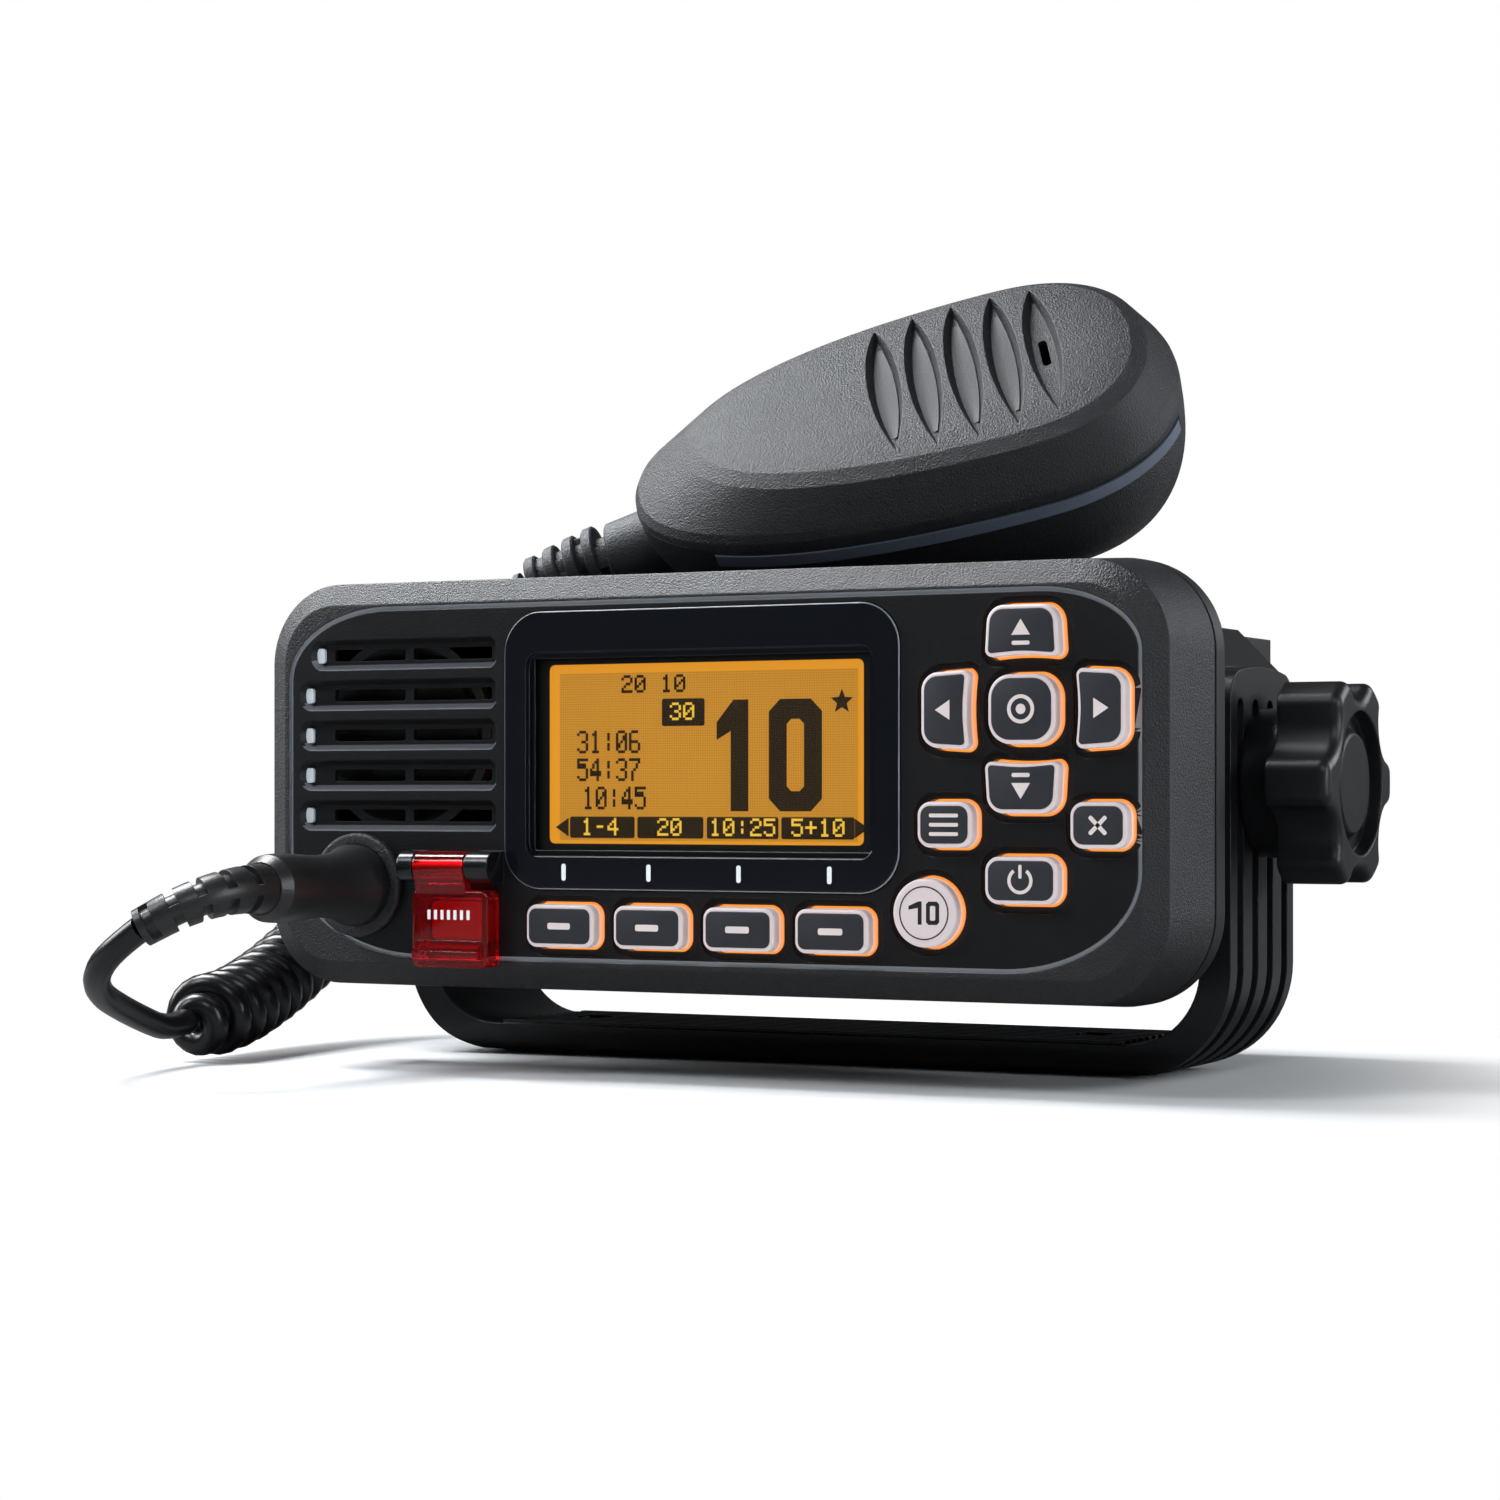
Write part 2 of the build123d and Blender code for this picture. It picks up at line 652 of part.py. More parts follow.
board_top = board_level + seat_gap / 2 + board_thickness
with BuildPart() as rf_shield:
    with BuildSketch(Plane.XY.offset(axis_height + board_top + seat_gap / 2)):
        with Locations((22, main_board_middle - axis_setback)):
            RectangleRounded(46, 34, 1.5)
    extrude(amount=8)
    fillet(rf_shield.faces().sort_by(Axis.Z)[-1].edges(), 0.8)
save(rf_shield, "rf_shield")

# ---------------------------------------------------------------- rear connectors
pad_back = chassis_back + pad_depth
with BuildPart() as antenna_jack:
    with BuildSketch(inside(pad_back + seat_gap / 2)):
        with Locations(jack_place):
            RegularPolygon(11, 6)
    extrude(amount=-3)
    with BuildSketch(inside(pad_back + 3)):
        with Locations(jack_place):
            Circle(jack_radius)
    extrude(amount=-jack_length)
    with BuildSketch(inside(pad_back + 3 + jack_length)):
        with Locations(jack_place):
            Circle(5.6)
    extrude(amount=jack_length - 2, mode=Mode.SUBTRACT)
    with BuildSketch(inside(pad_back + 4)):
        with Locations(jack_place):
            Circle(4.6)
            Circle(1.95, mode=Mode.SUBTRACT)
    extrude(amount=-jack_length + 3)
    with BuildSketch(inside(pad_back + 1)):
        with Locations(jack_place):
            Circle(5.1)
    extrude(amount=pad_depth + 3)
save(antenna_jack, "antenna_jack")

with BuildPart() as lead_grommets:
    for spot in lead_places:
        with BuildSketch(inside(pad_back + seat_gap / 2)):
            with Locations(spot):
                Circle(6)
        extrude(amount=-3, taper=15)
        with BuildSketch(inside(pad_back + 1)):
            with Locations(spot):
                Circle(4.15)
        extrude(amount=pad_depth)
        with BuildSketch(inside(pad_back + 4)):
            with Locations(spot):
                Circle(2.6)
        extrude(amount=pad_depth + 4, mode=Mode.SUBTRACT)
save(lead_grommets, "lead_grommets")

# ---------------------------------------------------------------- bracket
bracket_width = 30.4
bracket_thickness = 5.0
side_space = 2.0  # from the set to an arm, filled by the rubber washer
bracket_reach = chassis_width / 2 + side_space + bracket_thickness  # half of the width over the arms
bracket_bend = 17.0
arm_top = axis_height + 18.1
arm_crown = 73.0
base_hole = 3.0
base_hole_spacing = 92.0
groove_count = 4
groove_pitch = 7.1
groove_size = 3.0
groove_sink = 1.1
groove_end = arm_top - 6.6
base_rib_pitch = 2.9
base_rib_height = 0.5


def arch_outline(grow):
    """U-shaped outline, larger or smaller than the outside of the bracket."""
    reach = bracket_reach + grow
    with Locations((0, arm_top / 2 - grow / 2 + 10)):
        shape = Rectangle(2 * reach, arm_top + grow + 20)
    return shape


with BuildSketch(Plane.XZ) as outside_face:
    arch_outline(0)
    fillet(outside_face.vertices().group_by(Axis.Z)[0], bracket_bend)

with BuildSketch(Plane.XZ) as inside_face:
    arch_outline(-bracket_thickness)
    fillet(inside_face.vertices().group_by(Axis.Z)[0], bracket_bend - bracket_thickness)

with BuildSketch(Plane.XZ) as groove_floor:
    arch_outline(-groove_sink)
    fillet(groove_floor.vertices().group_by(Axis.Z)[0], bracket_bend - groove_sink)

with BuildPart() as bracket:
    with BuildSketch(Plane.XZ):
        add(outside_face.sketch)
        add(inside_face.sketch, mode=Mode.SUBTRACT)
    extrude(amount=bracket_width / 2, both=True)
    with BuildSketch(Plane.YZ):
        with Locations((0, arm_top / 2)):
            Rectangle(bracket_width, arm_top)
        with Locations((0, arm_top - arm_crown)):
            Circle(arm_crown, mode=Mode.INTERSECT)
        fillet(vertices().group_by(Axis.Z)[-1], 5)
    extrude(amount=bracket_reach, both=True, mode=Mode.INTERSECT)
    # fine ribs along the top of the base
    base_rib_count = int(bracket_width / base_rib_pitch)
    for index in range(base_rib_count):
        y = (index - (base_rib_count - 1) / 2) * base_rib_pitch
        with BuildSketch(Plane.XY.offset(bracket_thickness - 0.2)):
            with Locations((0, y)):
                Rectangle(2 * (bracket_reach - bracket_bend) - 2, 1.2)
        extrude(amount=base_rib_height + 0.2)
    # long grooves round the outside of each bend
    for index in range(groove_count):
        y = (index - (groove_count - 1) / 2) * groove_pitch
        with BuildSketch(Plane.XZ.offset(-y)):
            add(outside_face.sketch)
            add(groove_floor.sketch, mode=Mode.SUBTRACT)
            with Locations((0, groove_end + 20)):
                Rectangle(4 * bracket_reach, 40, mode=Mode.SUBTRACT)
            Rectangle(2 * (bracket_reach - bracket_bend), 30, mode=Mode.SUBTRACT)
        extrude(amount=groove_size / 2, both=True, mode=Mode.SUBTRACT)
        for side in (-1, 1):
            with BuildSketch(Plane((side * bracket_reach, y, groove_end), z_dir=(-side, 0, 0))):
                Circle(groove_size / 2)
            extrude(amount=groove_sink, mode=Mode.SUBTRACT)
    # screw holes in the base, bolt holes in the arms
    with BuildSketch(Plane.XY):
        with Locations((-base_hole_spacing / 2, 0), (base_hole_spacing / 2, 0)):
            Circle(base_hole)
    extrude(amount=2 * bracket_thickness, mode=Mode.SUBTRACT)
    with BuildSketch(Plane.YZ.offset(-bracket_reach)):
        with Locations((0, axis_height)):
            Circle(bolt_radius + running_gap)
    extrude(amount=2 * bracket_reach, mode=Mode.SUBTRACT)
save(bracket, "bracket")

# ---------------------------------------------------------------- tilt knobs, bolts and washers
knob_hub = 5.7
knob_star = 10.0
knob_radius = 16.75
knob_lobes = 6
knob_scallop = 4.6
knob_recess = 11.2
washer_radius = 9.0

for side, hand in ((-1, "left"), (1, "right")):
    outward = Plane((side * (bracket_reach + seat_gap), 0, axis_height), x_dir=(0, side, 0), z_dir=(side, 0, 0))
    with BuildPart() as knob:
        with BuildSketch(outward):
            Circle(11.5)
        extrude(amount=knob_hub, taper=-4)
        with BuildSketch(outward.offset(knob_hub)) as star:
            Circle(knob_radius)
            with PolarLocations(knob_radius + 2.2, knob_lobes, start_angle=30):
                Circle(knob_scallop + 1.4, mode=Mode.SUBTRACT)
            fillet(star.vertices(), 2.2)
        extrude(amount=knob_star)
        fillet(knob.faces().sort_by(Axis.X)[-1 if side > 0 else 0].edges(), 1.6)
        with BuildSketch(outward.offset(knob_hub + knob_star)):
            Circle(knob_recess)
        extrude(amount=-2.4, mode=Mode.SUBTRACT)
        with BuildSketch(outward.offset(knob_hub + knob_star - 2.5)):
            Circle(knob_recess - 2.4)
        extrude(amount=1.5, taper=40)
        with BuildSketch(outward):
            Circle(bolt_radius + running_gap)
        extrude(amount=knob_hub + knob_star - 5, mode=Mode.SUBTRACT)
    save(knob, f"knob_{hand}")

    with BuildPart() as bolt:
        with BuildSketch(outward.offset(knob_hub + knob_star - 5.5)):
            Circle(bolt_radius)
        extrude(amount=-(knob_hub + knob_star - 5.5 + seat_gap + bracket_thickness + side_space + 6.5))
        chamfer(bolt.faces().sort_by(Axis.X)[0 if side > 0 else -1].edges(), 0.5)
    save(bolt, f"clamp_bolt_{hand}")

    with BuildPart() as washer:
        with BuildSketch(outward.offset(-seat_gap - bracket_thickness - running_gap)):
            Circle(washer_radius)
            Circle(bolt_radius + 0.3, mode=Mode.SUBTRACT)
        extrude(amount=-side_space + 2 * running_gap)
    save(washer, f"clamp_washer_{hand}")

# ---------------------------------------------------------------- microphone
mic_origin = Vector(-27.05, -19.2, rib_top + 15.8)  # middle of the tail end of the seam
mic_along = Vector(0.9108, 0.3363, 0.2395)
mic_front_way = Vector(0.0664, -0.6919, 0.7190)
mic_length = 91.1
mic_width = 52.0
mic_widest = 0.70
mic_power = 2.26
mic_tail_depth = 16.3
mic_head_depth = 22.5
mic_wall = 2.2
mic_relief_thick, mic_relief_thin = 6.0, 3.1
mic_seam = Plane(mic_origin, x_dir=mic_along, z_dir=mic_front_way)


def egg_points(tail, side, head):
    """Outline of the microphone, moved in at the tail, the sides and the head; the tail is at x = 0."""
    middle = mic_widest * mic_length
    count = 14
    points = []
    for index in range(2 * count):
        angle = math.pi * index / count
        reach = mic_length - middle - head if math.cos(angle) > 0 else middle - tail
        half = mic_width / 2 - side
        across = math.sin(angle)
        along = math.cos(angle)
        power = 2 / mic_power
        x = middle + reach * math.copysign(abs(along) ** power, along)
        y = half * math.copysign(abs(across) ** power, across)
        points.append((x, y))
    return points


def egg(tail, side=None, head=None, mode=Mode.ADD):
    side = tail if side is None else side
    head = tail if head is None else head
    with BuildLine() as outline:
        Spline(*egg_points(tail, side, head), periodic=True)
    make_face(outline.edges(), mode=mode)


def rear_plane(fraction):
    """Planes behind the seam: they lean so that the head is deeper than the tail."""
    lean = math.atan2((mic_head_depth - mic_tail_depth) * fraction, mic_length)
    x_way = mic_along * math.cos(lean) - mic_front_way * math.sin(lean)
    z_way = mic_front_way * math.cos(lean) + mic_along * math.sin(lean)
    return Plane(mic_origin - mic_front_way * (mic_tail_depth * fraction + seat_gap / 2), x_dir=x_way, z_dir=z_way)


# height over the seam: inset at the tail, the sides and the head
band_steps = {0: (0, 0, 0), 1.2: (0.2, 0.2, 0.2), 2.6: (1.1, 0.8, 0.8), 8.3: (10.3, 3.7, 4.0)}
ring_steps = {8.3: (10.3, 3.7, 4.0), 9.7: (12.8, 6.0, 6.3)}
face_steps = {9.7: (12.8, 6.0, 6.3), 10.4: (18, 9.5, 10), 10.9: (26, 14, 15), 11.1: (36, 19, 20)}
front_hollow = {0: (3, 3, 3), 2.4: (4.2, 3.6, 3.6), 6.5: (11.8, 6.0, 6.4), 8.0: (15, 9, 9.5)}
rear_steps = ((0, 0), (0.3, 0.5), (0.6, 2.2), (0.85, 5.6), (1.0, 10.5))
grille_slots = ((44.7, 15.3), (51.2, 16.5), (57.8, 17.0), (64.4, 16.5), (70.9, 15.7))
grille_slot_width = 3.6
grille_floor = 9.1

with BuildPart() as mic_front:
    for steps, ruled in ((band_steps, True), (ring_steps, True), (face_steps, False)):
        for height, insets in steps.items():
            with BuildSketch(mic_seam.offset(height)):
                egg(*insets)
        loft(ruled=ruled)
    for x, half in grille_slots:
        with BuildSketch(mic_seam.offset(grille_floor)):
            with BuildLine():
                ThreePointArc((x, -half), (x + grille_slot_width / 2, 0), (x, half))
                ThreePointArc((x, half), (x - grille_slot_width / 2, 0), (x, -half))
            make_face()
        extrude(amount=4, taper=-25, mode=Mode.SUBTRACT)
    for height, insets in front_hollow.items():
        with BuildSketch(mic_seam.offset(height)):
            egg(*insets)
    loft(ruled=True, mode=Mode.SUBTRACT)
    with BuildSketch(mic_seam):
        with Locations((grille_slots[-1][0], 0)):
            RectangleRounded(1.4, 7, 0.6)
    extrude(amount=20, mode=Mode.SUBTRACT)
save(mic_front, "mic_front")

trim_top, trim_drop, trim_depth = -0.9, 2.2, 1.0
ptt_place = (31.0, 62.0)
ptt_levels = (-12.5, -2.5)
ptt_rise = 1.8
mic_floor = -12.8
mic_board_level = -6.0
mic_posts = ((31, 9), (31, -9), (66, 12), (66, -12))
mic_tail = mic_seam.from_local_coords((2, 0, -9))
mic_relief_end = Vector(-49.8, -18.9, 77.6)
relief_way = (mic_relief_end - mic_tail).normalized()


def side_band(plane, outer, inner, start, end, side):
    """Ring between two outlines, cut down to a stretch of one side."""
    with BuildSketch(plane) as band:
        egg(outer)
        egg(inner, mode=Mode.SUBTRACT)
        with Locations(((start + end) / 2, side * mic_width / 2)):
            Rectangle(end - start, mic_width, mode=Mode.INTERSECT)
    return band.sketch


with BuildPart() as mic_rear:
    for fraction, inset in rear_steps:
        with BuildSketch(rear_plane(fraction)):
            egg(inset)
    loft()
    for height, inset in ((0, mic_wall + 3.6), (mic_floor, mic_wall + 5.4)):
        with BuildSketch(mic_seam.offset(height)):
            egg(inset)
    loft(mode=Mode.SUBTRACT)
    with BuildSketch(mic_seam.offset(mic_floor - 0.5)):
        with Locations(*mic_posts):
            Circle(2)
    extrude(amount=mic_board_level - mic_floor + 0.5)
    trim_groove = side_band(mic_seam.offset(trim_top), -3, trim_depth, 12, 89, -1)
    extrude(trim_groove, amount=-trim_drop, mode=Mode.SUBTRACT)
    ptt_window = side_band(mic_seam.offset(ptt_levels[1] + sliding_gap), -6, 9, *ptt_place, 1)
    extrude(ptt_window, amount=ptt_levels[0] - ptt_levels[1] - 2 * sliding_gap, mode=Mode.SUBTRACT)
    # cable entry at the tail
    with BuildSketch(Plane(mic_tail, z_dir=relief_way)):
        Circle(mic_relief_thick + running_gap)
    extrude(amount=10, both=True, mode=Mode.SUBTRACT)
save(mic_rear, "mic_rear")

with BuildPart() as mic_trim:
    strip = side_band(mic_seam.offset(trim_top - running_gap), -0.3, trim_depth - running_gap, 12.1, 88.9, -1)
    extrude(strip, amount=-trim_drop + 2 * running_gap)
save(mic_trim, "mic_trim")

with BuildPart() as ptt_key:
    ptt_start, ptt_end = ptt_place[0] + sliding_gap, ptt_place[1] - sliding_gap
    bar = side_band(mic_seam.offset(ptt_levels[1]), -ptt_rise, mic_wall + 1.5, ptt_start, ptt_end, 1)
    extrude(bar, amount=ptt_levels[0] - ptt_levels[1])
save(ptt_key, "ptt_key")

with BuildPart() as mic_board:
    with BuildSketch(mic_seam.offset(mic_board_level + seat_gap / 2)):
        with Locations((50, 0)):
            RectangleRounded(46, 28, 4)
    extrude(amount=1.2)
save(mic_board, "mic_board")

with BuildPart() as mic_capsule:
    with BuildSketch(mic_seam.offset(mic_board_level + 1.2 + seat_gap)):
        with Locations((grille_slots[-1][0], 0)):
            Circle(4.8)
    extrude(amount=6)
    with BuildSketch(mic_seam.offset(mic_board_level + 7.2 + seat_gap)):
        with Locations((grille_slots[-1][0], 0)):
            Circle(2.5)
    extrude(amount=0.4)
save(mic_capsule, "mic_capsule")

button_plane = rear_plane(1.0)
with BuildPart() as hanger_button:
    with BuildSketch(button_plane.offset(-seat_gap)):
        with Locations((56, 0)):
            Circle(4)
    extrude(amount=-3)
    with BuildSketch(button_plane.offset(-seat_gap - 3)):
        with Locations((56, 0)):
            Circle(7)
    extrude(amount=-2.4)
    fillet(hanger_button.faces().sort_by(Axis(mic_origin, mic_front_way))[0].edges(), 0.8)
save(hanger_button, "hanger_button")

# ---------------------------------------------------------------- cord
cord_radius = 2.1
curl_radius = 7.0
relief_tail_radius = 3.0


def route(points, size):
    """Straight runs joined by arcs, as round as the shorter run beside each turn allows."""
    points = [Vector(*p) for p in points]
    radii = []
    for before, at, after in zip(points, points[1:], points[2:]):
        into = at - before
        away = after - at
        turn = math.radians(into.get_angle(away))
        radii.append(0.45 * min(into.length, away.length) / math.tan(turn / 2))
    runs = [round((b - a).length, 1) for a, b in zip(points, points[1:])]
    print("runs", runs, "bend radii", [round(r, 1) for r in radii], "section", size)
    return points, radii


def tube(name, points, size):
    """Round cord along a route; its ends are square to the first and last run."""
    points, radii = route(points, size)
    with BuildPart() as cord:
        with BuildLine() as line:
            FilletPolyline(*points, radius=radii)
        with BuildSketch(Plane(points[0], z_dir=points[1] - points[0])):
            Circle(size)
        sweep(path=line.wire())
    print(name, "length", round(line.wire().length, 1), "volume ratio",
          round(cord.part.volume / (line.wire().length * math.pi * size**2), 3))
    save(cord, name)


def relief(name, points, thick, thin, plain, sink, onward):
    """Bend relief that narrows along a route: plain at first, then slotted from two sides."""
    points, radii = route(points, thick)
    with BuildPart() as sleeve:
        with BuildLine() as line:
            FilletPolyline(*points, radius=radii)
        wire = line.wire()
        with BuildSketch(Plane(wire @ 0, z_dir=wire % 0)):
            Circle(thick)
        with BuildSketch(Plane(wire @ 1, z_dir=wire % 1)):
            Circle(thin)
        sweep(path=wire, multisection=True)
        slot_rows = 5
        for index in range(slot_rows):
            along = plain + (1 - plain) * (index + 0.5) / slot_rows
            outer = thick + (thin - thick) * along
            with BuildSketch(Plane(wire @ along, z_dir=wire % along)):
                Circle(outer + 1)
                Circle(outer - sink * outer, mode=Mode.SUBTRACT)
                Rectangle(3 * outer, 1.6, mode=Mode.SUBTRACT)
            extrude(amount=0.8, both=True, mode=Mode.SUBTRACT)
        # seat for the square end of the cord, which leaves at a slight angle
        with BuildSketch(Plane(wire @ 1, z_dir=onward)):
            Circle(cord_radius + seat_gap)
        extrude(amount=2, mode=Mode.SUBTRACT)
    save(sleeve, name)


front_y = -axis_setback
cable_x = cable_place[0]
cable_z = axis_height + cable_place[1]
boot_end = front_y - boot_length

with BuildPart() as cable_collar:
    with BuildSketch(inside(-running_gap)):
        with Locations(cable_place):
            Circle(collar_radius)
            Circle(boot_radius + running_gap, mode=Mode.SUBTRACT)
    extrude(amount=collar_rise)
    fillet(cable_collar.faces().sort_by(Axis.Y)[0].edges().sort_by(SortBy.LENGTH)[-1], 0.5)
save(cable_collar, "cable_collar")

with BuildPart() as cable_boot:
    with BuildSketch(Plane((cable_x, front_y - running_gap, cable_z), x_dir=(1, 0, 0), z_dir=(0, 0, 1))):
        with BuildLine():
            Polyline((0, 0), (boot_radius, 0), (boot_radius, -3.0))
            Spline(
                (boot_radius, -3.0),
                (5.1, -9.0),
                (4.95, -14.0),
                (5.35, -21.0),
                (5.2, -boot_length + 1.8),
            )
            Polyline((5.2, -boot_length + 1.8), (4.1, -boot_length), (0, -boot_length), (0, 0))
        make_face()
    revolve(axis=Axis((cable_x, 0, cable_z), (0, 1, 0)))
    with BuildSketch(inside(-running_gap)):
        with Locations(cable_place):
            Circle(boot_neck)
    extrude(amount=-panel_thickness)
    with BuildSketch(inside(panel_thickness + 0.2)):
        with Locations(cable_place):
            Circle(boot_neck + 1.6)
    extrude(amount=-1.6)
    with BuildSketch(inside(panel_thickness + 1)):
        with Locations(cable_place):
            Circle(boot_neck)
    extrude(amount=1.2)
save(cable_boot, "cable_boot")

front_route = [
    (cable_x, boot_end - 2 * running_gap, cable_z),
    (cable_x, boot_end - 5.3, cable_z),
    (-61.0, -90.0, 28.4),
    (-64.4, -93.8, 26.5),
    (-69.1, -96.0, 23.7),
]
lead_first = (-74.8, -96.1, 20.1)
lead_way = (Vector(*lead_first) - Vector(*front_route[-1])).normalized()
relief("cable_relief", front_route, 3.9, relief_tail_radius, 0.1, 0.28, lead_way)

lead_start = Vector(*front_route[-1]) + lead_way * 0.1
tube(
    "mic_lead_front",
    [
        lead_start,
        lead_first,
        (-80.2, -93.0, 16.1),
        (-84.2, -86.7, 12.9),
        (-86.4, -79.0, 10.4),
        (-88.1, -71.0, 8.0),
        (-89.3, -63.4, 5.9),
        (-89.8, -56.2, 4.6),
    ],
    cord_radius,
)

curl_route = [
    (-90.0, -55.8, 7.1),
    (-91.4, -43.5, 7.6),
    (-95.6, -25.5, 11.2),
    (-99.2, -7.0, 17.4),
    (-100.8, 10.0, 26.0),
    (-98.2, 23.5, 37.5),
    (-92.2, 31.0, 50.0),
    (-87.0, 32.6, 58.3),
]
tube("mic_curl", curl_route, curl_radius)

mic_relief_start = mic_tail - relief_way * 2.5
mic_relief_middle = (mic_relief_start + mic_relief_end) * 0.5 + Vector(0, 0, -0.6)
tail_way = (mic_relief_end - mic_relief_middle).normalized()
rear_last = Vector(-59.0, -22.8, 73.6)
tail_start = mic_relief_end + tail_way * 0.1
relief(
    "mic_relief",
    [mic_relief_start, mic_relief_middle, mic_relief_end],
    mic_relief_thick,
    mic_relief_thin,
    0.36,
    0.32,
    rear_last - tail_start,
)
curl_way = (Vector(*curl_route[-1]) - Vector(*curl_route[-2])).normalized()
curl_end = Vector(*curl_route[-1]) + curl_way * 0.1
tube(
    "mic_lead_rear",
    [
        curl_end,
        (-81.2, 34.6, 67.7),
        (-75.3, 29.8, 75.6),
        (-71.9, 20.0, 78.2),
        (-74.5, 9.1, 76.5),
        (-78.6, -1.6, 75.3),
        (-77.6, -13.0, 74.1),
        (-69.9, -21.0, 73.4),
        rear_last,
        tail_start,
    ],
    cord_radius,
)
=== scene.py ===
import json
import math

import bmesh
import bpy
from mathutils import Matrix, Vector
from mathutils.bvhtree import BVHTree


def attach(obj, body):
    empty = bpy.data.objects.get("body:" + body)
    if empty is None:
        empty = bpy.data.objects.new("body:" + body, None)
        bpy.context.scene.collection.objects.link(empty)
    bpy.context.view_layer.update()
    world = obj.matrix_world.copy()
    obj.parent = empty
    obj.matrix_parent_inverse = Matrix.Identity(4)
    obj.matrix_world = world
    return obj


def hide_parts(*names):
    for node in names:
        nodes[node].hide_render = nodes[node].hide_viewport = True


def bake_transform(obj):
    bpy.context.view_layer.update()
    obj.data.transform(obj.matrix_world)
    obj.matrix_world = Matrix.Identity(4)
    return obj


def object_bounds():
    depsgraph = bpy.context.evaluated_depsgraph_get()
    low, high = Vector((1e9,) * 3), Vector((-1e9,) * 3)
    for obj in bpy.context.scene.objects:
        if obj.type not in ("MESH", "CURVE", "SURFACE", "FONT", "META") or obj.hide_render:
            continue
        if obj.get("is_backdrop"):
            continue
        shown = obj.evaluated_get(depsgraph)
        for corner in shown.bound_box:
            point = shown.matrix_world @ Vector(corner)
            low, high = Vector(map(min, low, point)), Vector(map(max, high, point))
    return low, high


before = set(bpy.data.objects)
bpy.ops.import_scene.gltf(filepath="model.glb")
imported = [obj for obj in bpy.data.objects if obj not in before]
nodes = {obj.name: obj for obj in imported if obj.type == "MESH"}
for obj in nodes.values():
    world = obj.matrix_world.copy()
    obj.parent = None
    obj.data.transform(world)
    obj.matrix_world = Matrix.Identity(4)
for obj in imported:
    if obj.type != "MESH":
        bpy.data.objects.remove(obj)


def plainBounds():
    return json.loads(json.dumps(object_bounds(), default=list))


sizeLog = {"frame": plainBounds()}
mm = 0.001
faceY = -52.6
axisZ = 45.5


def onFace(x, z, out=0.0):
    # from millimetres on the front face; out is towards the viewer
    return Vector((x, faceY - out, axisZ + z)) * mm


print("stage: materials")


def addNodes(tree, kinds):
    # new shader nodes by name; a type may be followed by its operation
    made = {}
    for name, kind in kinds.items():
        kind, *operation = kind.split()
        made[name] = tree.nodes.new(f"ShaderNode{kind}")
        if operation:
            made[name].operation = operation[0]
    return made


def setInputs(node, values):
    for label, value in values.items():
        node.inputs[label].default_value = value


def joinNodes(tree, made, links):
    for source, out, target, into in links:
        tree.links.new(made[source].outputs[out], made[target].inputs[into])


def firstNode(tree, kind):
    return next(node for node in tree.nodes if node.type == kind)


plainLook = {"roughness": 0.5, "metallic": 0.0, "specular": 0.5, "transmission": 0.0, "ior": 1.5,
             "emission": (0, 0, 0), "glow": 0.0, "edge": 0, "spread": 0.0, "lattice": 0}
grainShape = {"detail": 2.0, "roughness": 0.6, "distance": 0.00012, "cloudScale": 0.08}
edgeSamples = 6
dotMesh = {"pitch": 0.385, "line": 0.80}


def makeMaterial(name, settings):
    settings = {**plainLook, **settings}
    scale, strength, distance = (*settings["grain"], grainShape["distance"])[:3]
    material = bpy.data.materials.new(name)
    material.use_nodes = True
    tree = material.node_tree
    tree.nodes.clear()
    made = addNodes(tree, {"output": "OutputMaterial", "shader": "BsdfPrincipled", "place": "TexCoord",
                           "noise": "TexNoise", "bump": "Bump"})
    setInputs(made["shader"], {
        "Base Color": (*settings["base"], 1), "Roughness": settings["roughness"],
        "Metallic": settings["metallic"], "Specular IOR Level": settings["specular"],
        "Transmission Weight": settings["transmission"], "IOR": settings["ior"],
        "Emission Color": (*settings["emission"], 1), "Emission Strength": settings["glow"]})
    setInputs(made["noise"], {"Scale": scale, "Detail": grainShape["detail"],
                              "Roughness": grainShape["roughness"]})
    setInputs(made["bump"], {"Strength": strength, "Distance": distance})
    joinNodes(tree, made, [("shader", 0, "output", 0), ("place", "Object", "noise", "Vector"),
                           ("noise", "Fac", "bump", "Height"), ("bump", 0, "shader", "Normal")])
    if settings["edge"]:
        made |= addNodes(tree, {"bevel": "Bevel"})
        made["bevel"].samples = edgeSamples
        setInputs(made["bevel"], {"Radius": settings["edge"] * mm})
        joinNodes(tree, made, [("bevel", 0, "bump", "Normal")])
    if settings["spread"]:
        made |= addNodes(tree, {"cloud": "TexNoise", "ramp": "MapRange"})
        setInputs(made["cloud"], {"Scale": scale * grainShape["cloudScale"]})
        setInputs(made["ramp"], {"To Min": settings["roughness"] - settings["spread"],
                                 "To Max": settings["roughness"] + settings["spread"]})
        joinNodes(tree, made, [("place", "Object", "cloud", "Vector"), ("cloud", "Fac", "ramp", "Value"),
                               ("ramp", 0, "shader", "Roughness")])
    if settings["lattice"]:
        addLattice(tree, made, settings)
    return material


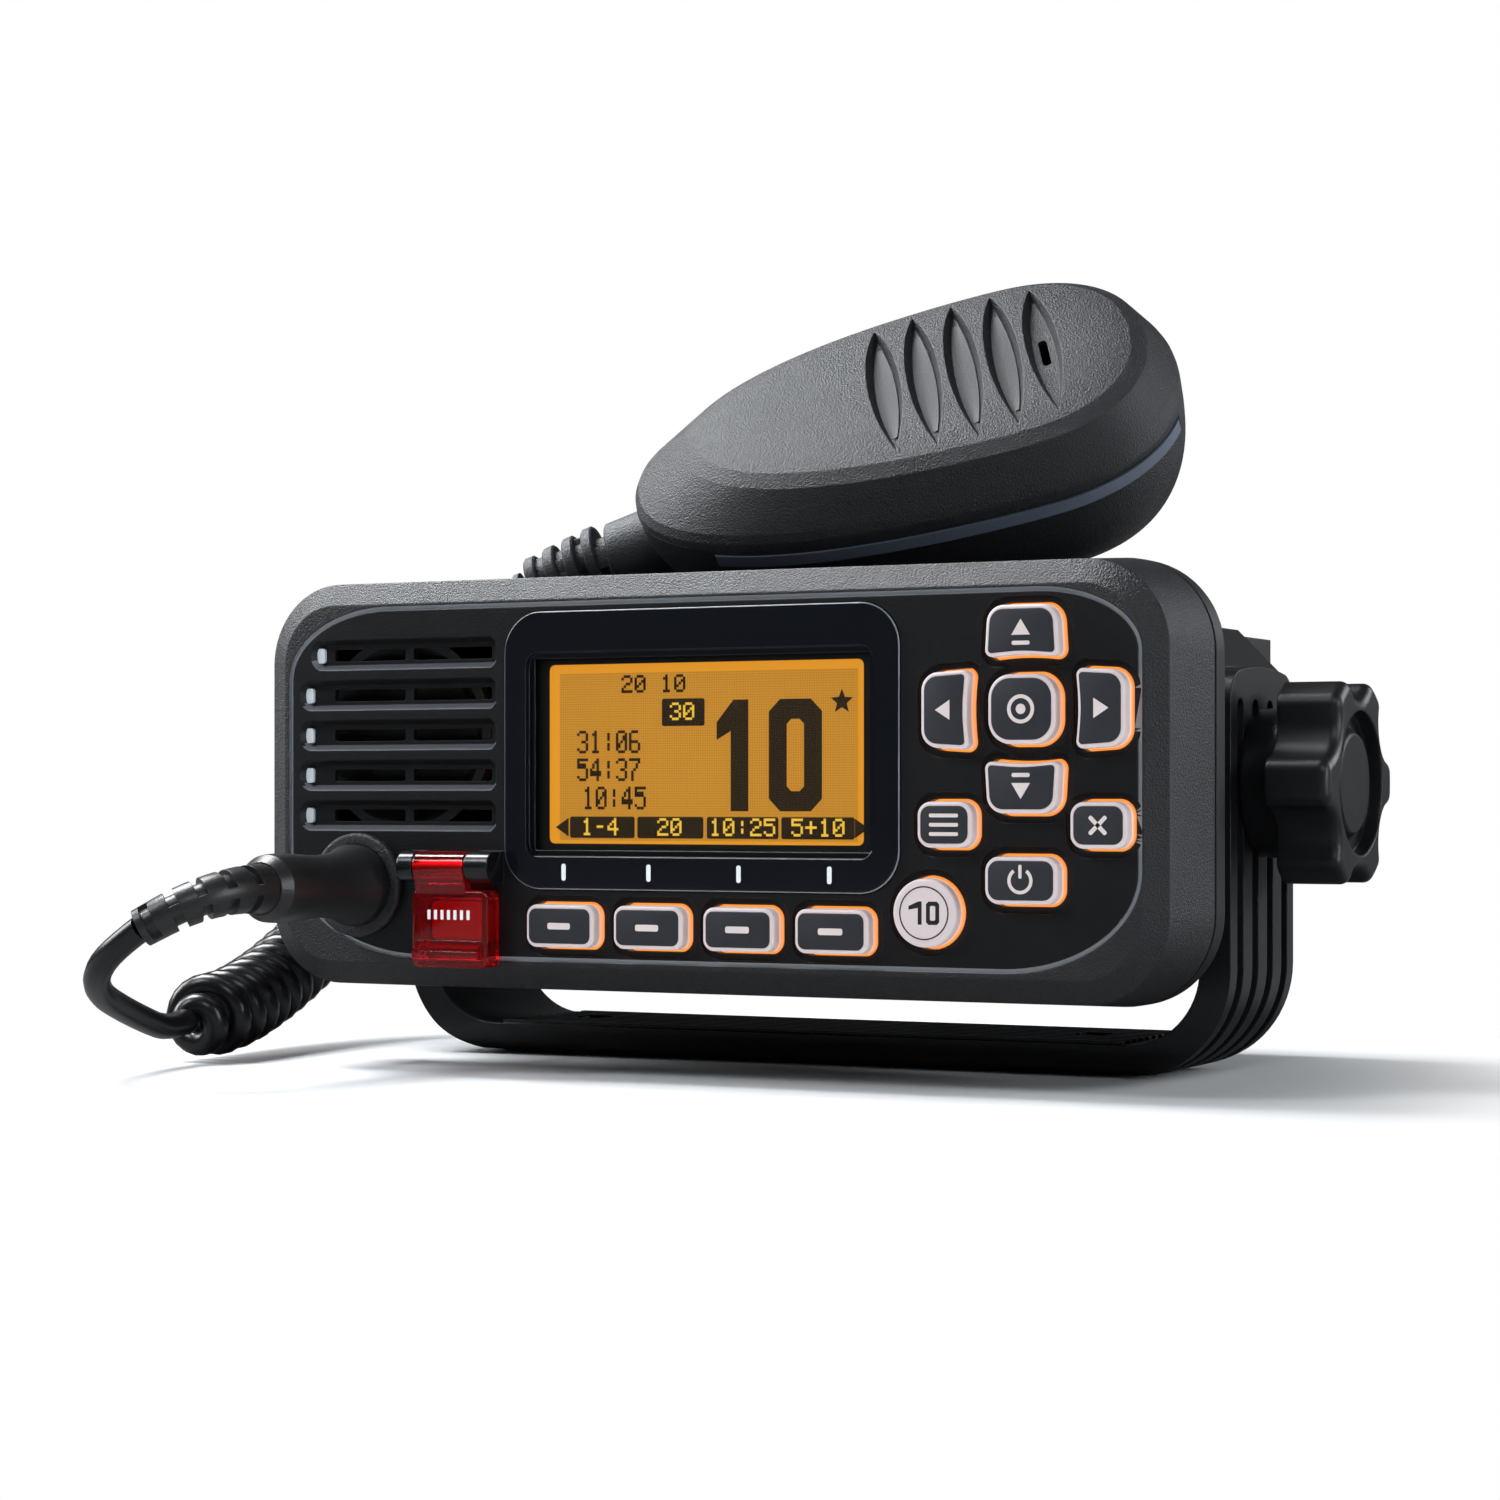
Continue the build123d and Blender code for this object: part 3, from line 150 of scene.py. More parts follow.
def addLattice(tree, made, settings):
    # fine square mesh of a dot display, as lines that glow less or more than their ground
    made |= addNodes(tree, {"scaled": "VectorMath SCALE", "split": "SeparateXYZ", "either": "Math MAXIMUM",
                            "level": "Math MULTIPLY_ADD"})
    setInputs(made["scaled"], {"Scale": 1 / (dotMesh["pitch"] * mm)})
    setInputs(made["level"], {1: settings["lattice"], 2: settings["glow"]})
    joinNodes(tree, made, [("place", "Object", "scaled", 0), ("scaled", 0, "split", 0),
                           ("either", 0, "level", 0), ("level", 0, "shader", "Emission Strength")])
    for index, way in enumerate("XZ"):
        line = addNodes(tree, {"part": "Math FRACT", "over": "Math GREATER_THAN"})
        setInputs(line["over"], {1: dotMesh["line"]})
        joinNodes(tree, {**made, **line}, [("split", way, "part", 0), ("part", 0, "over", 0),
                                           ("over", 0, "either", index)])


# grain is (scale, strength) or (scale, strength, distance)
lookSettings = {
    "casing": {"base": (0.013, 0.014, 0.0165), "roughness": 0.38, "specular": 0.55, "edge": 0.5,
               "grain": (3400, 0.85, 0.00026), "spread": 0.05},
    "innerPanel": {"base": (0.004, 0.0045, 0.006), "roughness": 0.42, "specular": 0.4, "edge": 0.25,
                   "grain": (3900, 0.6, 0.00014), "spread": 0.04},
    # painted highlight: the groove is the casing's own plastic, and its pale grey stands in for light caught
    # along the groove line
    "groove": {"base": (0.26, 0.28, 0.30), "roughness": 0.30, "specular": 0.8, "edge": 0.3,
               "grain": (3000, 0.1)},
    "displayBlack": {"base": (0.004, 0.005, 0.008), "roughness": 0.12, "edge": 0.25,
                     "grain": (500, 0.01)},
    "windowGlass": {"base": (0.95, 0.96, 0.97), "roughness": 0.02, "transmission": 1.0, "ior": 1.1,
                    "specular": 0.3, "grain": (300, 0.004)},
    "amber": {"base": (0.20, 0.085, 0.006), "specular": 0.2, "emission": (1.0, 0.40, 0.02),
              "glow": 0.66, "grain": (1500, 0.02)},
    "amberField": {"base": (0.20, 0.09, 0.008), "specular": 0.2, "emission": (1.0, 0.43, 0.035),
                   "glow": 0.50, "grain": (1500, 0.02), "lattice": -0.22},
    "keyCap": {"base": (0.026, 0.028, 0.034), "roughness": 0.55, "specular": 0.4, "edge": 0.15,
               "grain": (4200, 0.35)},
    # white print; its emission is a painted glow, as the print is no lamp
    "whiteInkWithPaintedGlow": {"base": (0.80, 0.82, 0.84), "emission": (0.8, 0.8, 0.8), "glow": 0.15,
                 "grain": (2000, 0.02)},
    "lcdInk": {"base": (0.012, 0.007, 0.002), "roughness": 0.6, "specular": 0.2,
               "emission": (1.0, 0.45, 0.03), "lattice": 0.035, "grain": (2000, 0.02)},
    "lcdLight": {"base": (0.35, 0.2, 0.01), "specular": 0.2, "emission": (1.0, 0.62, 0.06),
                 "glow": 0.62, "grain": (2000, 0.02)},
    "paleInk": {"base": (0.78, 0.68, 0.65), "grain": (2000, 0.02)},
    "darkInk": {"base": (0.012, 0.012, 0.014), "grain": (2000, 0.02)},
    "rubber": {"base": (0.013, 0.013, 0.014), "roughness": 0.36, "specular": 0.6, "edge": 0.2,
               "grain": (1800, 0.22)},
    "cordRubber": {"base": (0.004, 0.004, 0.005), "roughness": 0.28, "grain": (900, 0.05)},
    "diecast": {"base": (0.007, 0.0075, 0.009), "roughness": 0.48, "edge": 0.4, "grain": (2200, 0.3),
                "spread": 0.05},
    "bracketPlastic": {"base": (0.008, 0.0085, 0.010), "roughness": 0.38, "specular": 0.55,
                       "edge": 0.3, "grain": (2400, 0.25), "spread": 0.05},
    "knobPlastic": {"base": (0.006, 0.0065, 0.008), "roughness": 0.38, "specular": 0.55, "edge": 0.7,
                    "grain": (2400, 0.10), "spread": 0.04},
    "micPlastic": {"base": (0.012, 0.013, 0.016), "roughness": 0.43, "specular": 0.55, "edge": 0.3,
                   "grain": (3400, 0.9, 0.00030), "spread": 0.05},
    "pttGrip": {"base": (0.018, 0.020, 0.024), "specular": 0.45, "edge": 0.3, "grain": (3000, 0.4)},
    "reliefRubber": {"base": (0.040, 0.043, 0.048), "edge": 0.2, "grain": (3000, 0.8, 0.00024)},
    "micScoop": {"base": (0.012, 0.013, 0.016), "roughness": 0.55, "specular": 0.35,
                 "grain": (2400, 0.4)},
    "micStrip": {"base": (0.10, 0.12, 0.16), "roughness": 0.42, "grain": (2400, 0.2)},
    "redClear": {"base": (0.85, 0.015, 0.02), "roughness": 0.04, "transmission": 0.93, "ior": 1.49,
                 "specular": 0.6, "edge": 0.2, "grain": (400, 0.01)},
    "redSolid": {"base": (0.70, 0.03, 0.015), "roughness": 0.35, "edge": 0.2, "grain": (900, 0.05)},
    "maskBlack": {"base": (0.002, 0.002, 0.002), "specular": 0.2, "grain": (2000, 0.02)},
    # painted highlight: a near-white copy of the groove for its walls facing up or to the left, where the
    # lamps fall
    "groovePaintedHighlight": {"base": (0.72, 0.77, 0.81), "roughness": 0.35, "specular": 0.6, "edge": 0.2,
                    "grain": (3000, 0.1)},
    # painted highlight: a grey copy of the casing for the up-facing lips of the grille slots
    "grilleLipPaintedHighlight": {"base": (0.15, 0.16, 0.18), "roughness": 0.38, "specular": 0.6, "edge": 0.2,
                  "grain": (2600, 0.3)},
    "hingeBlack": {"base": (0.004, 0.004, 0.005), "roughness": 0.22, "specular": 0.7, "edge": 0.3,
                   "grain": (900, 0.04)},
    # painted highlight: a grey copy of the display frame's black for its chamfers
    "frameEdgePaintedHighlight": {"base": (0.20, 0.22, 0.25), "roughness": 0.25, "specular": 0.8, "grain": (900, 0.04)},
    "steel": {"base": (0.55, 0.55, 0.56), "metallic": 1.0, "roughness": 0.30, "edge": 0.15,
              "grain": (1500, 0.05)},
    "nickel": {"base": (0.62, 0.61, 0.57), "metallic": 1.0, "roughness": 0.2, "edge": 0.15,
               "grain": (1500, 0.03)},
    "board": {"base": (0.01, 0.10, 0.03), "roughness": 0.4, "grain": (700, 0.1)},
    "clearAcrylic": {"base": (0.75, 0.74, 0.70), "roughness": 0.2, "grain": (700, 0.02)},
    "cone": {"base": (0.010, 0.010, 0.011), "roughness": 0.7, "grain": (1500, 0.2)},
}
looks = {name: makeMaterial(name, settings) for name, settings in lookSettings.items()}

glowLook = {"near": (1.0, 0.30, 0.03), "far": (0.90, 0.74, 0.74), "strengthNear": 0.90, "strengthFar": 0.12,
            "front": 0.45}


def makeGlow(name, look):
    # pale silicone lit from inside: warm next to the panel, pale at the front
    material = makeMaterial(name, {"base": (0.62, 0.54, 0.54), "roughness": 0.42, "edge": 0.25,
                                   "grain": (2400, 0.05)})
    tree = material.node_tree
    made = addNodes(tree, {"place": "TexCoord", "split": "SeparateXYZ", "depth": "MapRange",
                           "ramp": "ValToRGB", "power": "MapRange"})
    made["shader"] = firstNode(tree, "BSDF_PRINCIPLED")
    setInputs(made["depth"], {"From Min": (faceY - look["front"]) * mm, "From Max": faceY * mm})
    setInputs(made["power"], {"To Min": look["strengthFar"], "To Max": look["strengthNear"]})
    for index, place in enumerate(("far", "near")):
        made["ramp"].color_ramp.elements[index].color = (*look[place], 1)
    joinNodes(tree, made, [("place", "Object", "split", 0), ("split", "Y", "depth", "Value"),
                           ("depth", 0, "ramp", 0), ("ramp", 0, "shader", "Emission Color"),
                           ("depth", 0, "power", "Value"), ("power", 0, "shader", "Emission Strength")])
    return material


looks["paleGlow"] = makeGlow("paleGlow", glowLook)

lookNodes = {
    "bracketPlastic": ["bracket"], "knobPlastic": ["knob_left", "knob_right"],
    "steel": ["clamp_bolt_left", "clamp_bolt_right", "case_screws", "rf_shield", "cover_pin",
              "hanger_button"],
    "rubber": ["clamp_washer_left", "clamp_washer_right", "gasket", "lead_grommets", "cable_boot",
               "cable_relief"],
    "casing": ["front_panel", "cable_collar"], "diecast": ["rear_case"],
    "displayBlack": ["display_frame"], "windowGlass": ["display_lens"], "amber": ["lcd_module"],
    "clearAcrylic": ["keypad_mat", "light_guide"], "board": ["front_board", "main_board", "mic_board"],
    "cone": ["speaker"], "nickel": ["antenna_jack", "mic_capsule"],
    "cordRubber": ["mic_lead_front", "mic_curl", "mic_lead_rear"], "reliefRubber": ["mic_relief"],
    "redClear": ["alarm_cover"], "redSolid": ["alarm_button"], "micPlastic": ["mic_front", "mic_rear"],
    "micStrip": ["mic_trim"], "pttGrip": ["ptt_key"],
    "paleGlow": [f"soft_key_{n}" for n in range(1, 5)] + [
        "up_key", "left_key", "down_key", "right_key", "enter_key", "menu_key", "clear_key", "power_key",
        "channel_key"],
}
for look, names in lookNodes.items():
    for name in names:
        materials = nodes[name].data.materials
        materials.clear()
        materials.append(looks[look])

print("stage: mesh tools")
nearlyStraight = 0.01  # radians
tiny = 1e-6
leastSlant = 0.5


def addPiece(name, mesh, look, body, crease=35):
    # turns a bmesh into a piece with one look, riding on a body
    bmesh.ops.recalc_face_normals(mesh, faces=mesh.faces)
    data = bpy.data.meshes.new(name)
    mesh.to_mesh(data)
    mesh.free()
    data.materials.append(looks[look])
    data.polygons.foreach_set("use_smooth", [True] * len(data.polygons))
    data.set_sharp_from_angle(angle=math.radians(crease))
    piece = bpy.data.objects.new(name, data)
    bpy.context.scene.collection.objects.link(piece)
    if body:
        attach(piece, body)
    return piece


def roundPolygon(corners, radii, steps=6):
    # closed outline with rounded corners, anticlockwise
    points = []
    count = len(corners)
    for index, corner in enumerate(corners):
        here = Vector(corner)
        before = (Vector(corners[index - 1]) - here).normalized()
        after = (Vector(corners[(index + 1) % count]) - here).normalized()
        opening = before.angle(after)
        radius = radii[index]
        if radius <= 0 or math.pi - opening < nearlyStraight:
            points.append(here)
            continue
        cut = radius / math.tan(opening / 2)
        middle = here + (before + after).normalized() * radius / math.sin(opening / 2)
        first = here + before * cut - middle
        last = here + after * cut - middle
        sweep = first.angle_signed(last)
        for step in range(steps + 1):
            angle = -sweep * step / steps
            arm = Vector((first.x * math.cos(angle) - first.y * math.sin(angle),
                          first.x * math.sin(angle) + first.y * math.cos(angle)))
            points.append(middle + arm)
    return points


def roundBox(width, height, radius, steps=6):
    w, h = width / 2, height / 2
    return roundPolygon([(-w, -h), (w, -h), (w, h), (-w, h)], [radius] * 4, steps)


def disc(radius, steps=40):
    return [Vector((radius * math.cos(2 * math.pi * k / steps), radius * math.sin(2 * math.pi * k / steps)))
            for k in range(steps)]


def inset(points, distance):
    # moves an anticlockwise outline inwards
    shifted = []
    count = len(points)
    for index, here in enumerate(points):
        into = here - points[index - 1]
        away = points[(index + 1) % count] - here
        if into.length < tiny:
            into = points[index - 1] - points[index - 2]
        if away.length < tiny:
            away = points[(index + 2) % count] - here
        side = Vector((-into.y, into.x)).normalized() + Vector((-away.y, away.x)).normalized()
        side.normalize()
        slant = max(leastSlant, side.dot(Vector((-into.y, into.x)).normalized()))
        shifted.append(here + side * distance / slant)
    return shifted


def turned(points, degrees):
    c, s = math.cos(math.radians(degrees)), math.sin(math.radians(degrees))
    return [Vector((p[0] * c - p[1] * s, p[0] * s + p[1] * c)) for p in points]


def bridge(mesh, rings):
    # faces between rings that have as many vertices
    for lower, upper in zip(rings, rings[1:]):
        for k in range(len(lower)):
            n = (k + 1) % len(lower)
            mesh.faces.new((lower[k], lower[n], upper[n], upper[k]))


def faceLoop(mesh, outline, spot, out):
    return [mesh.verts.new(onFace(spot[0] + p.x, spot[1] + p.y, out)) for p in outline]


def facePlate(mesh, loops, spot, turn=0):
    # bridges outlines on the front face, each with its own height, and closes the last one
    rings = [faceLoop(mesh, turned(outline, turn), spot, out) for outline, out in loops]
    bridge(mesh, rings)
    mesh.faces.new(rings[-1])


def faceRing(mesh, outer, inner, spot, out, thick):
    # flat ring between two outlines with as many points
    levels = [faceLoop(mesh, outline, spot, level) for outline, level in (
        (outer, out), (outer, out + thick), (inner, out + thick), (inner, out))]
    bridge(mesh, levels + levels[:1])


markInputs = ("Width", "Height", "Corner", "Thickness")
markShape = {"weld": 0.002, "cornerPoints": 3}


def markTree(name, look):
    # one small rounded bar on every point, standing on the front face
    tree = bpy.data.node_groups.new(name, "GeometryNodeTree")
    tree.interface.new_socket("Geometry", in_out="INPUT", socket_type="NodeSocketGeometry")
    for label in markInputs:
        tree.interface.new_socket(label, in_out="INPUT", socket_type="NodeSocketFloat")
    tree.interface.new_socket("Geometry", in_out="OUTPUT", socket_type="NodeSocketGeometry")
    made = {key: tree.nodes.new(kind) for key, kind in (
        ("given", "NodeGroupInput"), ("result", "NodeGroupOutput"),
        ("outline", "GeometryNodeCurvePrimitiveQuadrilateral"), ("corners", "GeometryNodeFilletCurve"),
        ("plate", "GeometryNodeFillCurve"), ("raised", "GeometryNodeExtrudeMesh"),
        ("back", "GeometryNodeFlipFaces"), ("whole", "GeometryNodeJoinGeometry"),
        ("welded", "GeometryNodeMergeByDistance"), ("spread", "GeometryNodeInstanceOnPoints"),
        ("solid", "GeometryNodeRealizeInstances"), ("paint", "GeometryNodeSetMaterial"))}
    made["raised"].inputs["Individual"].default_value = False
    made["welded"].inputs["Distance"].default_value = markShape["weld"] * mm
    made["spread"].inputs["Rotation"].default_value = (math.radians(90), 0, 0)
    made["paint"].inputs["Material"].default_value = looks[look]
    corners = made["corners"]
    if "Mode" in corners.inputs:
        corners.inputs["Mode"].default_value = "Poly"
    else:
        corners.mode = "POLY"
    corners.inputs["Count"].default_value = markShape["cornerPoints"]
    links = (("given", "Width", "outline", "Width"), ("given", "Height", "outline", "Height"),
             ("given", "Corner", "corners", "Radius"), ("outline", "Curve", "corners", "Curve"),
             ("corners", "Curve", "plate", "Curve"), ("plate", "Mesh", "raised", "Mesh"),
             ("given", "Thickness", "raised", "Offset Scale"), ("plate", "Mesh", "back", "Mesh"),
             ("raised", "Mesh", "whole", "Geometry"), ("back", "Mesh", "whole", "Geometry"),
             ("whole", "Geometry", "welded", "Geometry"), ("given", "Geometry", "spread", "Points"),
             ("welded", "Geometry", "spread", "Instance"), ("spread", "Instances", "solid", "Geometry"),
             ("solid", "Geometry", "paint", "Geometry"), ("paint", "Geometry", "result", "Geometry"))
    joinNodes(tree, made, links)
    return tree


def printedMarks(name, spots, sizes, look, body):
    # spots are (x, z, out) on the front face, sizes follow markInputs
    points = bpy.data.meshes.new(f"{name}_points")
    points.from_pydata([onFace(*spot) for spot in spots], [], [])
    holder = bpy.data.objects.new(f"{name}_points", points)
    bpy.context.scene.collection.objects.link(holder)
    tree = markTree(f"{name}_tree", look)
    modifier = holder.modifiers.new("marks", "NODES")
    modifier.node_group = tree
    sockets = {item.name: item.identifier for item in tree.interface.items_tree if item.in_out == "INPUT"}
    for label, value in zip(markInputs, sizes):
        modifier[sockets[label]] = value * mm
    bpy.context.view_layer.update()
    data = bpy.data.meshes.new_from_object(holder.evaluated_get(bpy.context.evaluated_depsgraph_get()))
    data.name = name
    bpy.data.objects.remove(holder)
    piece = bpy.data.objects.new(name, data)
    bpy.context.scene.collection.objects.link(piece)
    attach(piece, body)
    return piece


print("stage: front casing faces")
panelShape = {"left": -72.7, "right": 73.7, "top": 28.2, "bottom": -27.8, "groove": 0.7, "edge": 0.02,
              "reach": 3.0, "lit": 0.3, "corners": ((19.0, 11.5), (16.0, 9.5), (21.5, 15.0), (25.0, 17.0))}


def cornerCurve(start, corner, end, steps=14):
    hold = 0.55
    p1 = start + (corner - start) * hold
    p2 = end + (corner - end) * hold
    curve = []
    for k in range(steps + 1):
        t = k / steps
        curve.append(start * (1 - t) ** 3 + p1 * 3 * t * (1 - t) ** 2 + p2 * 3 * t * t * (1 - t)
                     + end * t ** 3)
    return curve


def panelLine(shape, move):
    left, right = shape["left"] + move, shape["right"] - move
    top, bottom = shape["top"] - move, shape["bottom"] + move
    (lx, ly), (rx, ry), (sx, sy), (bx, by) = [(x - move, y - move) for x, y in shape["corners"]]
    line = cornerCurve(Vector((left, top - ly)), Vector((left, top)), Vector((left + lx, top)))
    line += cornerCurve(Vector((right - rx, top)), Vector((right, top)), Vector((right, top - ry)))
    line += cornerCurve(Vector((right, bottom + sy)), Vector((right, bottom)), Vector((right - sx, bottom)))
    line += cornerCurve(Vector((left + bx, bottom)), Vector((left, bottom)), Vector((left, bottom + by)))
    return line


def within(point, line):
    hit = False
    for a, b in zip(line, line[1:] + line[:1]):
        if (a.y > point.y) != (b.y > point.y):
            if point.x < a.x + (point.y - a.y) / (b.y - a.y) * (b.x - a.x):
                hit = not hit
    return hit


def inPlace(x, z, place):
    return place["x"][0] < x < place["x"][1] and place["z"][0] < z < place["z"][1]


outerLine = panelLine(panelShape, -panelShape["edge"])
innerLine = panelLine(panelShape, panelShape["groove"] - panelShape["edge"])
grillePlace = {"x": (-70.0, -29.5), "z": (-13.0, 23.5), "deep": 1.3, "upward": 0.25, "sloping": -0.97}
hingePlace = {"x": (-56.0, -24.0), "z": (-17.5, -8.5), "proud": 0.4}


def casingLook(polygon):
    centre, normal = polygon.center / mm, polygon.normal
    x, y, z = centre.x, centre.y, centre.z - axisZ
    look = "casing"
    if y <= faceY + panelShape["reach"] and within(Vector((x, z)), outerLine):
        # between the outer and inner lines lies the groove, with its painted highlight grey
        look = "innerPanel" if within(Vector((x, z)), innerLine) else "groove"
    # groove walls facing up or to the left get the painted highlight
    if look == "groove" and (normal.z > panelShape["lit"] or normal.x < -panelShape["lit"]):
        look = "groovePaintedHighlight"
    # up-facing lips of the grille slots get a painted highlight
    if (inPlace(x, z, grillePlace) and y < faceY + grillePlace["deep"]
            and normal.y > grillePlace["sloping"] and normal.z > grillePlace["upward"]):
        look = "grilleLipPaintedHighlight"
    if inPlace(x, z, hingePlace) and y < faceY - hingePlace["proud"]:
        look = "hingeBlack"
    return look


casingMesh = nodes["front_panel"].data
casingLooks = ["casing", "innerPanel", "groove", "hingeBlack", "groovePaintedHighlight", "grilleLipPaintedHighlight"]
for look in casingLooks[1:]:
    casingMesh.materials.append(looks[look])
for polygon in casingMesh.polygons:
    polygon.material_index = casingLooks.index(casingLook(polygon))
# chamfer faces of the display frame, between front and side, get a painted highlight
frameHighlightFaces = {"normals": (-0.93, -0.15), "deep": 2.2}
frameMesh = nodes["display_frame"].data
frameMesh.materials.append(looks["frameEdgePaintedHighlight"])
for polygon in frameMesh.polygons:
    steepest, flattest = frameHighlightFaces["normals"]
    if steepest < polygon.normal.y < flattest and polygon.center.y / mm < faceY + frameHighlightFaces["deep"]:
        polygon.material_index = 1

print("stage: key caps")
sideKey = {"corners": [(-6.0, -4.0), (0, -3.5), (6.0, -4.0), (5.5, 4.0), (-5.5, 4.0)],
           "radii": [1.3, 24.0, 1.3, 2.8, 2.8]}
sideOutline = roundPolygon(sideKey["corners"], sideKey["radii"], 8)
keyShapes = {
    "up_key": (sideOutline, (56.1, 21.7), 0),
    "left_key": (sideOutline, (44.1, 10.5), 90),
    "down_key": (sideOutline, (56.1, -0.7), 180),
    "right_key": (sideOutline, (68.1, 10.5), 270),
    "enter_key": (roundBox(10.8, 10.4, 3.6, 8), (56.1, 10.5), 0),
    "menu_key": (roundBox(9.0, 7.0, 2.2), (44.0, -6.2), 0),
    "clear_key": (roundBox(9.0, 7.0, 2.2), (67.9, -6.2), 0),
    "power_key": (roundBox(11.6, 7.2, 2.3), (56.0, -14.2), 0),
}
softRow = {"first": -20.8, "pitch": 15.5, "row": -22.1, "size": (12.3, 6.9, 1.9)}
softSpots = {f"soft_key_{k + 1}": (softRow["first"] + softRow["pitch"] * k, softRow["row"]) for k in range(4)}
for name, spot in softSpots.items():
    keyShapes[name] = (roundBox(*softRow["size"]), spot, 0)
capShape = {"rim": 0.75, "rise": 2.2, "proud": 0.16, "edge": 0.12, "sunk": 0.10, "bevel": (0.04, 0.03)}
for name, (outline, spot, turn) in keyShapes.items():
    mesh = bmesh.new()
    rise, rim = capShape["rise"], capShape["rim"]
    facePlate(mesh, [
        (inset(outline, rim), rise - capShape["sunk"]),
        (inset(outline, rim), rise + capShape["proud"] - capShape["edge"]),
        (inset(outline, rim + capShape["bevel"][0]), rise + capShape["proud"] - capShape["bevel"][1]),
        (inset(outline, rim + capShape["edge"]), rise + capShape["proud"]),
    ], spot, turn)
    addPiece(f"{name}_cap", mesh, "keyCap", name)

roundKey = {"spot": (40.8, -19.1), "ring": (3.95, 3.75), "rise": 2.17, "thick": 0.06}
mesh = bmesh.new()
faceRing(mesh, *(disc(radius) for radius in roundKey["ring"]), roundKey["spot"], roundKey["rise"],
         roundKey["thick"])
addPiece("channel_key_ring", mesh, "darkInk", "channel_key")

print("stage: signs on the keys")
inkOut = capShape["rise"] + capShape["proud"]
inkShape = {"sunk": 0.02, "proud": 0.04}


def sign(name, shapes, spot, body, look="paleInk", turn=0, out=inkOut):
    # thin printed shapes; each is an outline, or a pair of outlines for a ring
    low, high = out - inkShape["sunk"], out + inkShape["proud"]
    mesh = bmesh.new()
    for shape in shapes:
        if isinstance(shape, tuple):
            outer, inner = (turned(outline, turn) for outline in shape)
            faceRing(mesh, outer, inner, spot, low, inkShape["sunk"] + inkShape["proud"])
        else:
            facePlate(mesh, [(shape, low), (shape, high)], spot, turn)
    return addPiece(name, mesh, look, body)


def moved(points, x, y):
    return [Vector((p[0] + x, p[1] + y)) for p in points]


triangle = [Vector(p) for p in ((-1.45, -1.05), (1.45, -1.05), (0, 1.25))]
dash = roundBox(4.0, 1.0, 0.3, 3)
bar = roundBox(4.6, 0.55, 0.2, 3)
stroke = roundBox(3.6, 0.62, 0.25, 3)
underline = roundBox(2.8, 0.6, 0.25, 3)
for name, spot in softSpots.items():
    sign(name.replace("key", "dash"), [dash], spot, name)
sign("up_sign", [triangle, moved(underline, 0, -2.2)], (56.1, 22.2), "up_key")
sign("down_sign", [turned(triangle, 180), moved(underline, 0, 2.2)], (56.1, -1.2), "down_key")
sign("left_sign", [turned(triangle, 90)], (43.9, 10.5), "left_key")
sign("right_sign", [turned(triangle, 270)], (68.3, 10.5), "right_key")
sign("enter_sign", [(disc(2.1), disc(1.55)), disc(0.75, 24)], (56.1, 10.5), "enter_key")
sign("menu_sign", [moved(bar, 0, 1.35), bar, moved(bar, 0, -1.35)], (44.0, -6.2), "menu_key")
sign("clear_sign", [turned(stroke, 45), turned(stroke, 135)], (67.9, -6.2), "clear_key")


def arcBand(radius, width, start, end, steps=28):
    outer, inner = [], []
    for k in range(steps + 1):
        angle = math.radians(start + (end - start) * k / steps)
        way = Vector((math.cos(angle), math.sin(angle)))
        outer.append(way * (radius + width / 2))
        inner.append(way * (radius - width / 2))
    return outer + inner[::-1]


sign("power_sign", [arcBand(1.7, 0.5, 125, 415), moved(roundBox(0.5, 2.0, 0.2, 3), 0, 1.3)], (56.0, -14.2),
     "power_key")

digitRows = {
    "0": "01110 10001 10011 10101 11001 10001 01110", "1": "00100 01100 00100 00100 00100 00100 01110",
    "2": "01110 10001 00001 00110 01000 10000 11111", "3": "01110 10001 00001 00110 00001 10001 01110",
    "4": "00010 00110 01010 10010 11111 00010 00010", "5": "11111 10000 11110 00001 00001 10001 01110",
    "6": "01110 10000 10000 11110 10001 10001 01110", "7": "11111 00001 00010 00100 01000 01000 01000",
    ":": "00000 00100 00100 00000 00100 00100 00000", "-": "00000 00000 00000 01110 00000 00000 00000",
    " ": "00000 00000 00000 00000 00000 00000 00000", "+": "00000 00100 00100 11111 00100 00100 00000",
}
tallRows = (0, 1, 2, 2, 3, 4, 4, 5, 6)
heavyFigure = {"notch": 0.85, "flagTop": 0.2, "flagLow": 0.36, "flagJoin": 0.28, "cut": 0.62, "hole": 0.25}


def cutBox(w, h, cut):
    return [Vector(p) for p in ((-w + cut, -h), (w - cut, -h), (w, -h + cut), (w, h - cut), (w - cut, h),
                                (-w + cut, h), (-w, h - cut), (-w, -h + cut))]


def strokeDigit(kind, width, height, weight):
    # one or nought as a heavy figure with cut corners
    w, h, t = width / 2, height / 2, weight
    if kind == "1":
        flag = [h - heavyFigure[key] * height for key in ("flagTop", "flagLow", "flagJoin")]
        return [[Vector(p) for p in ((w - t, -h), (w, -h), (w, h), (w - heavyFigure["notch"] * t, h),
                                     (-w, flag[0]), (-w, flag[1]), (w - t, flag[2]))]]
    return [(cutBox(w, h, heavyFigure["cut"] * weight), cutBox(w - t, h - t, heavyFigure["hole"] * weight))]


def placedDigits(text, width, height, weight, gap):
    shapes = []
    at = -(len(text) * width + (len(text) - 1) * gap) / 2 + width / 2
    for kind in text:
        for shape in strokeDigit(kind, width, height, weight):
            if isinstance(shape, tuple):
                shapes.append((moved(shape[0], at, 0), moved(shape[1], at, 0)))
            else:
                shapes.append(moved(shape, at, 0))
        at += width + gap
    return shapes


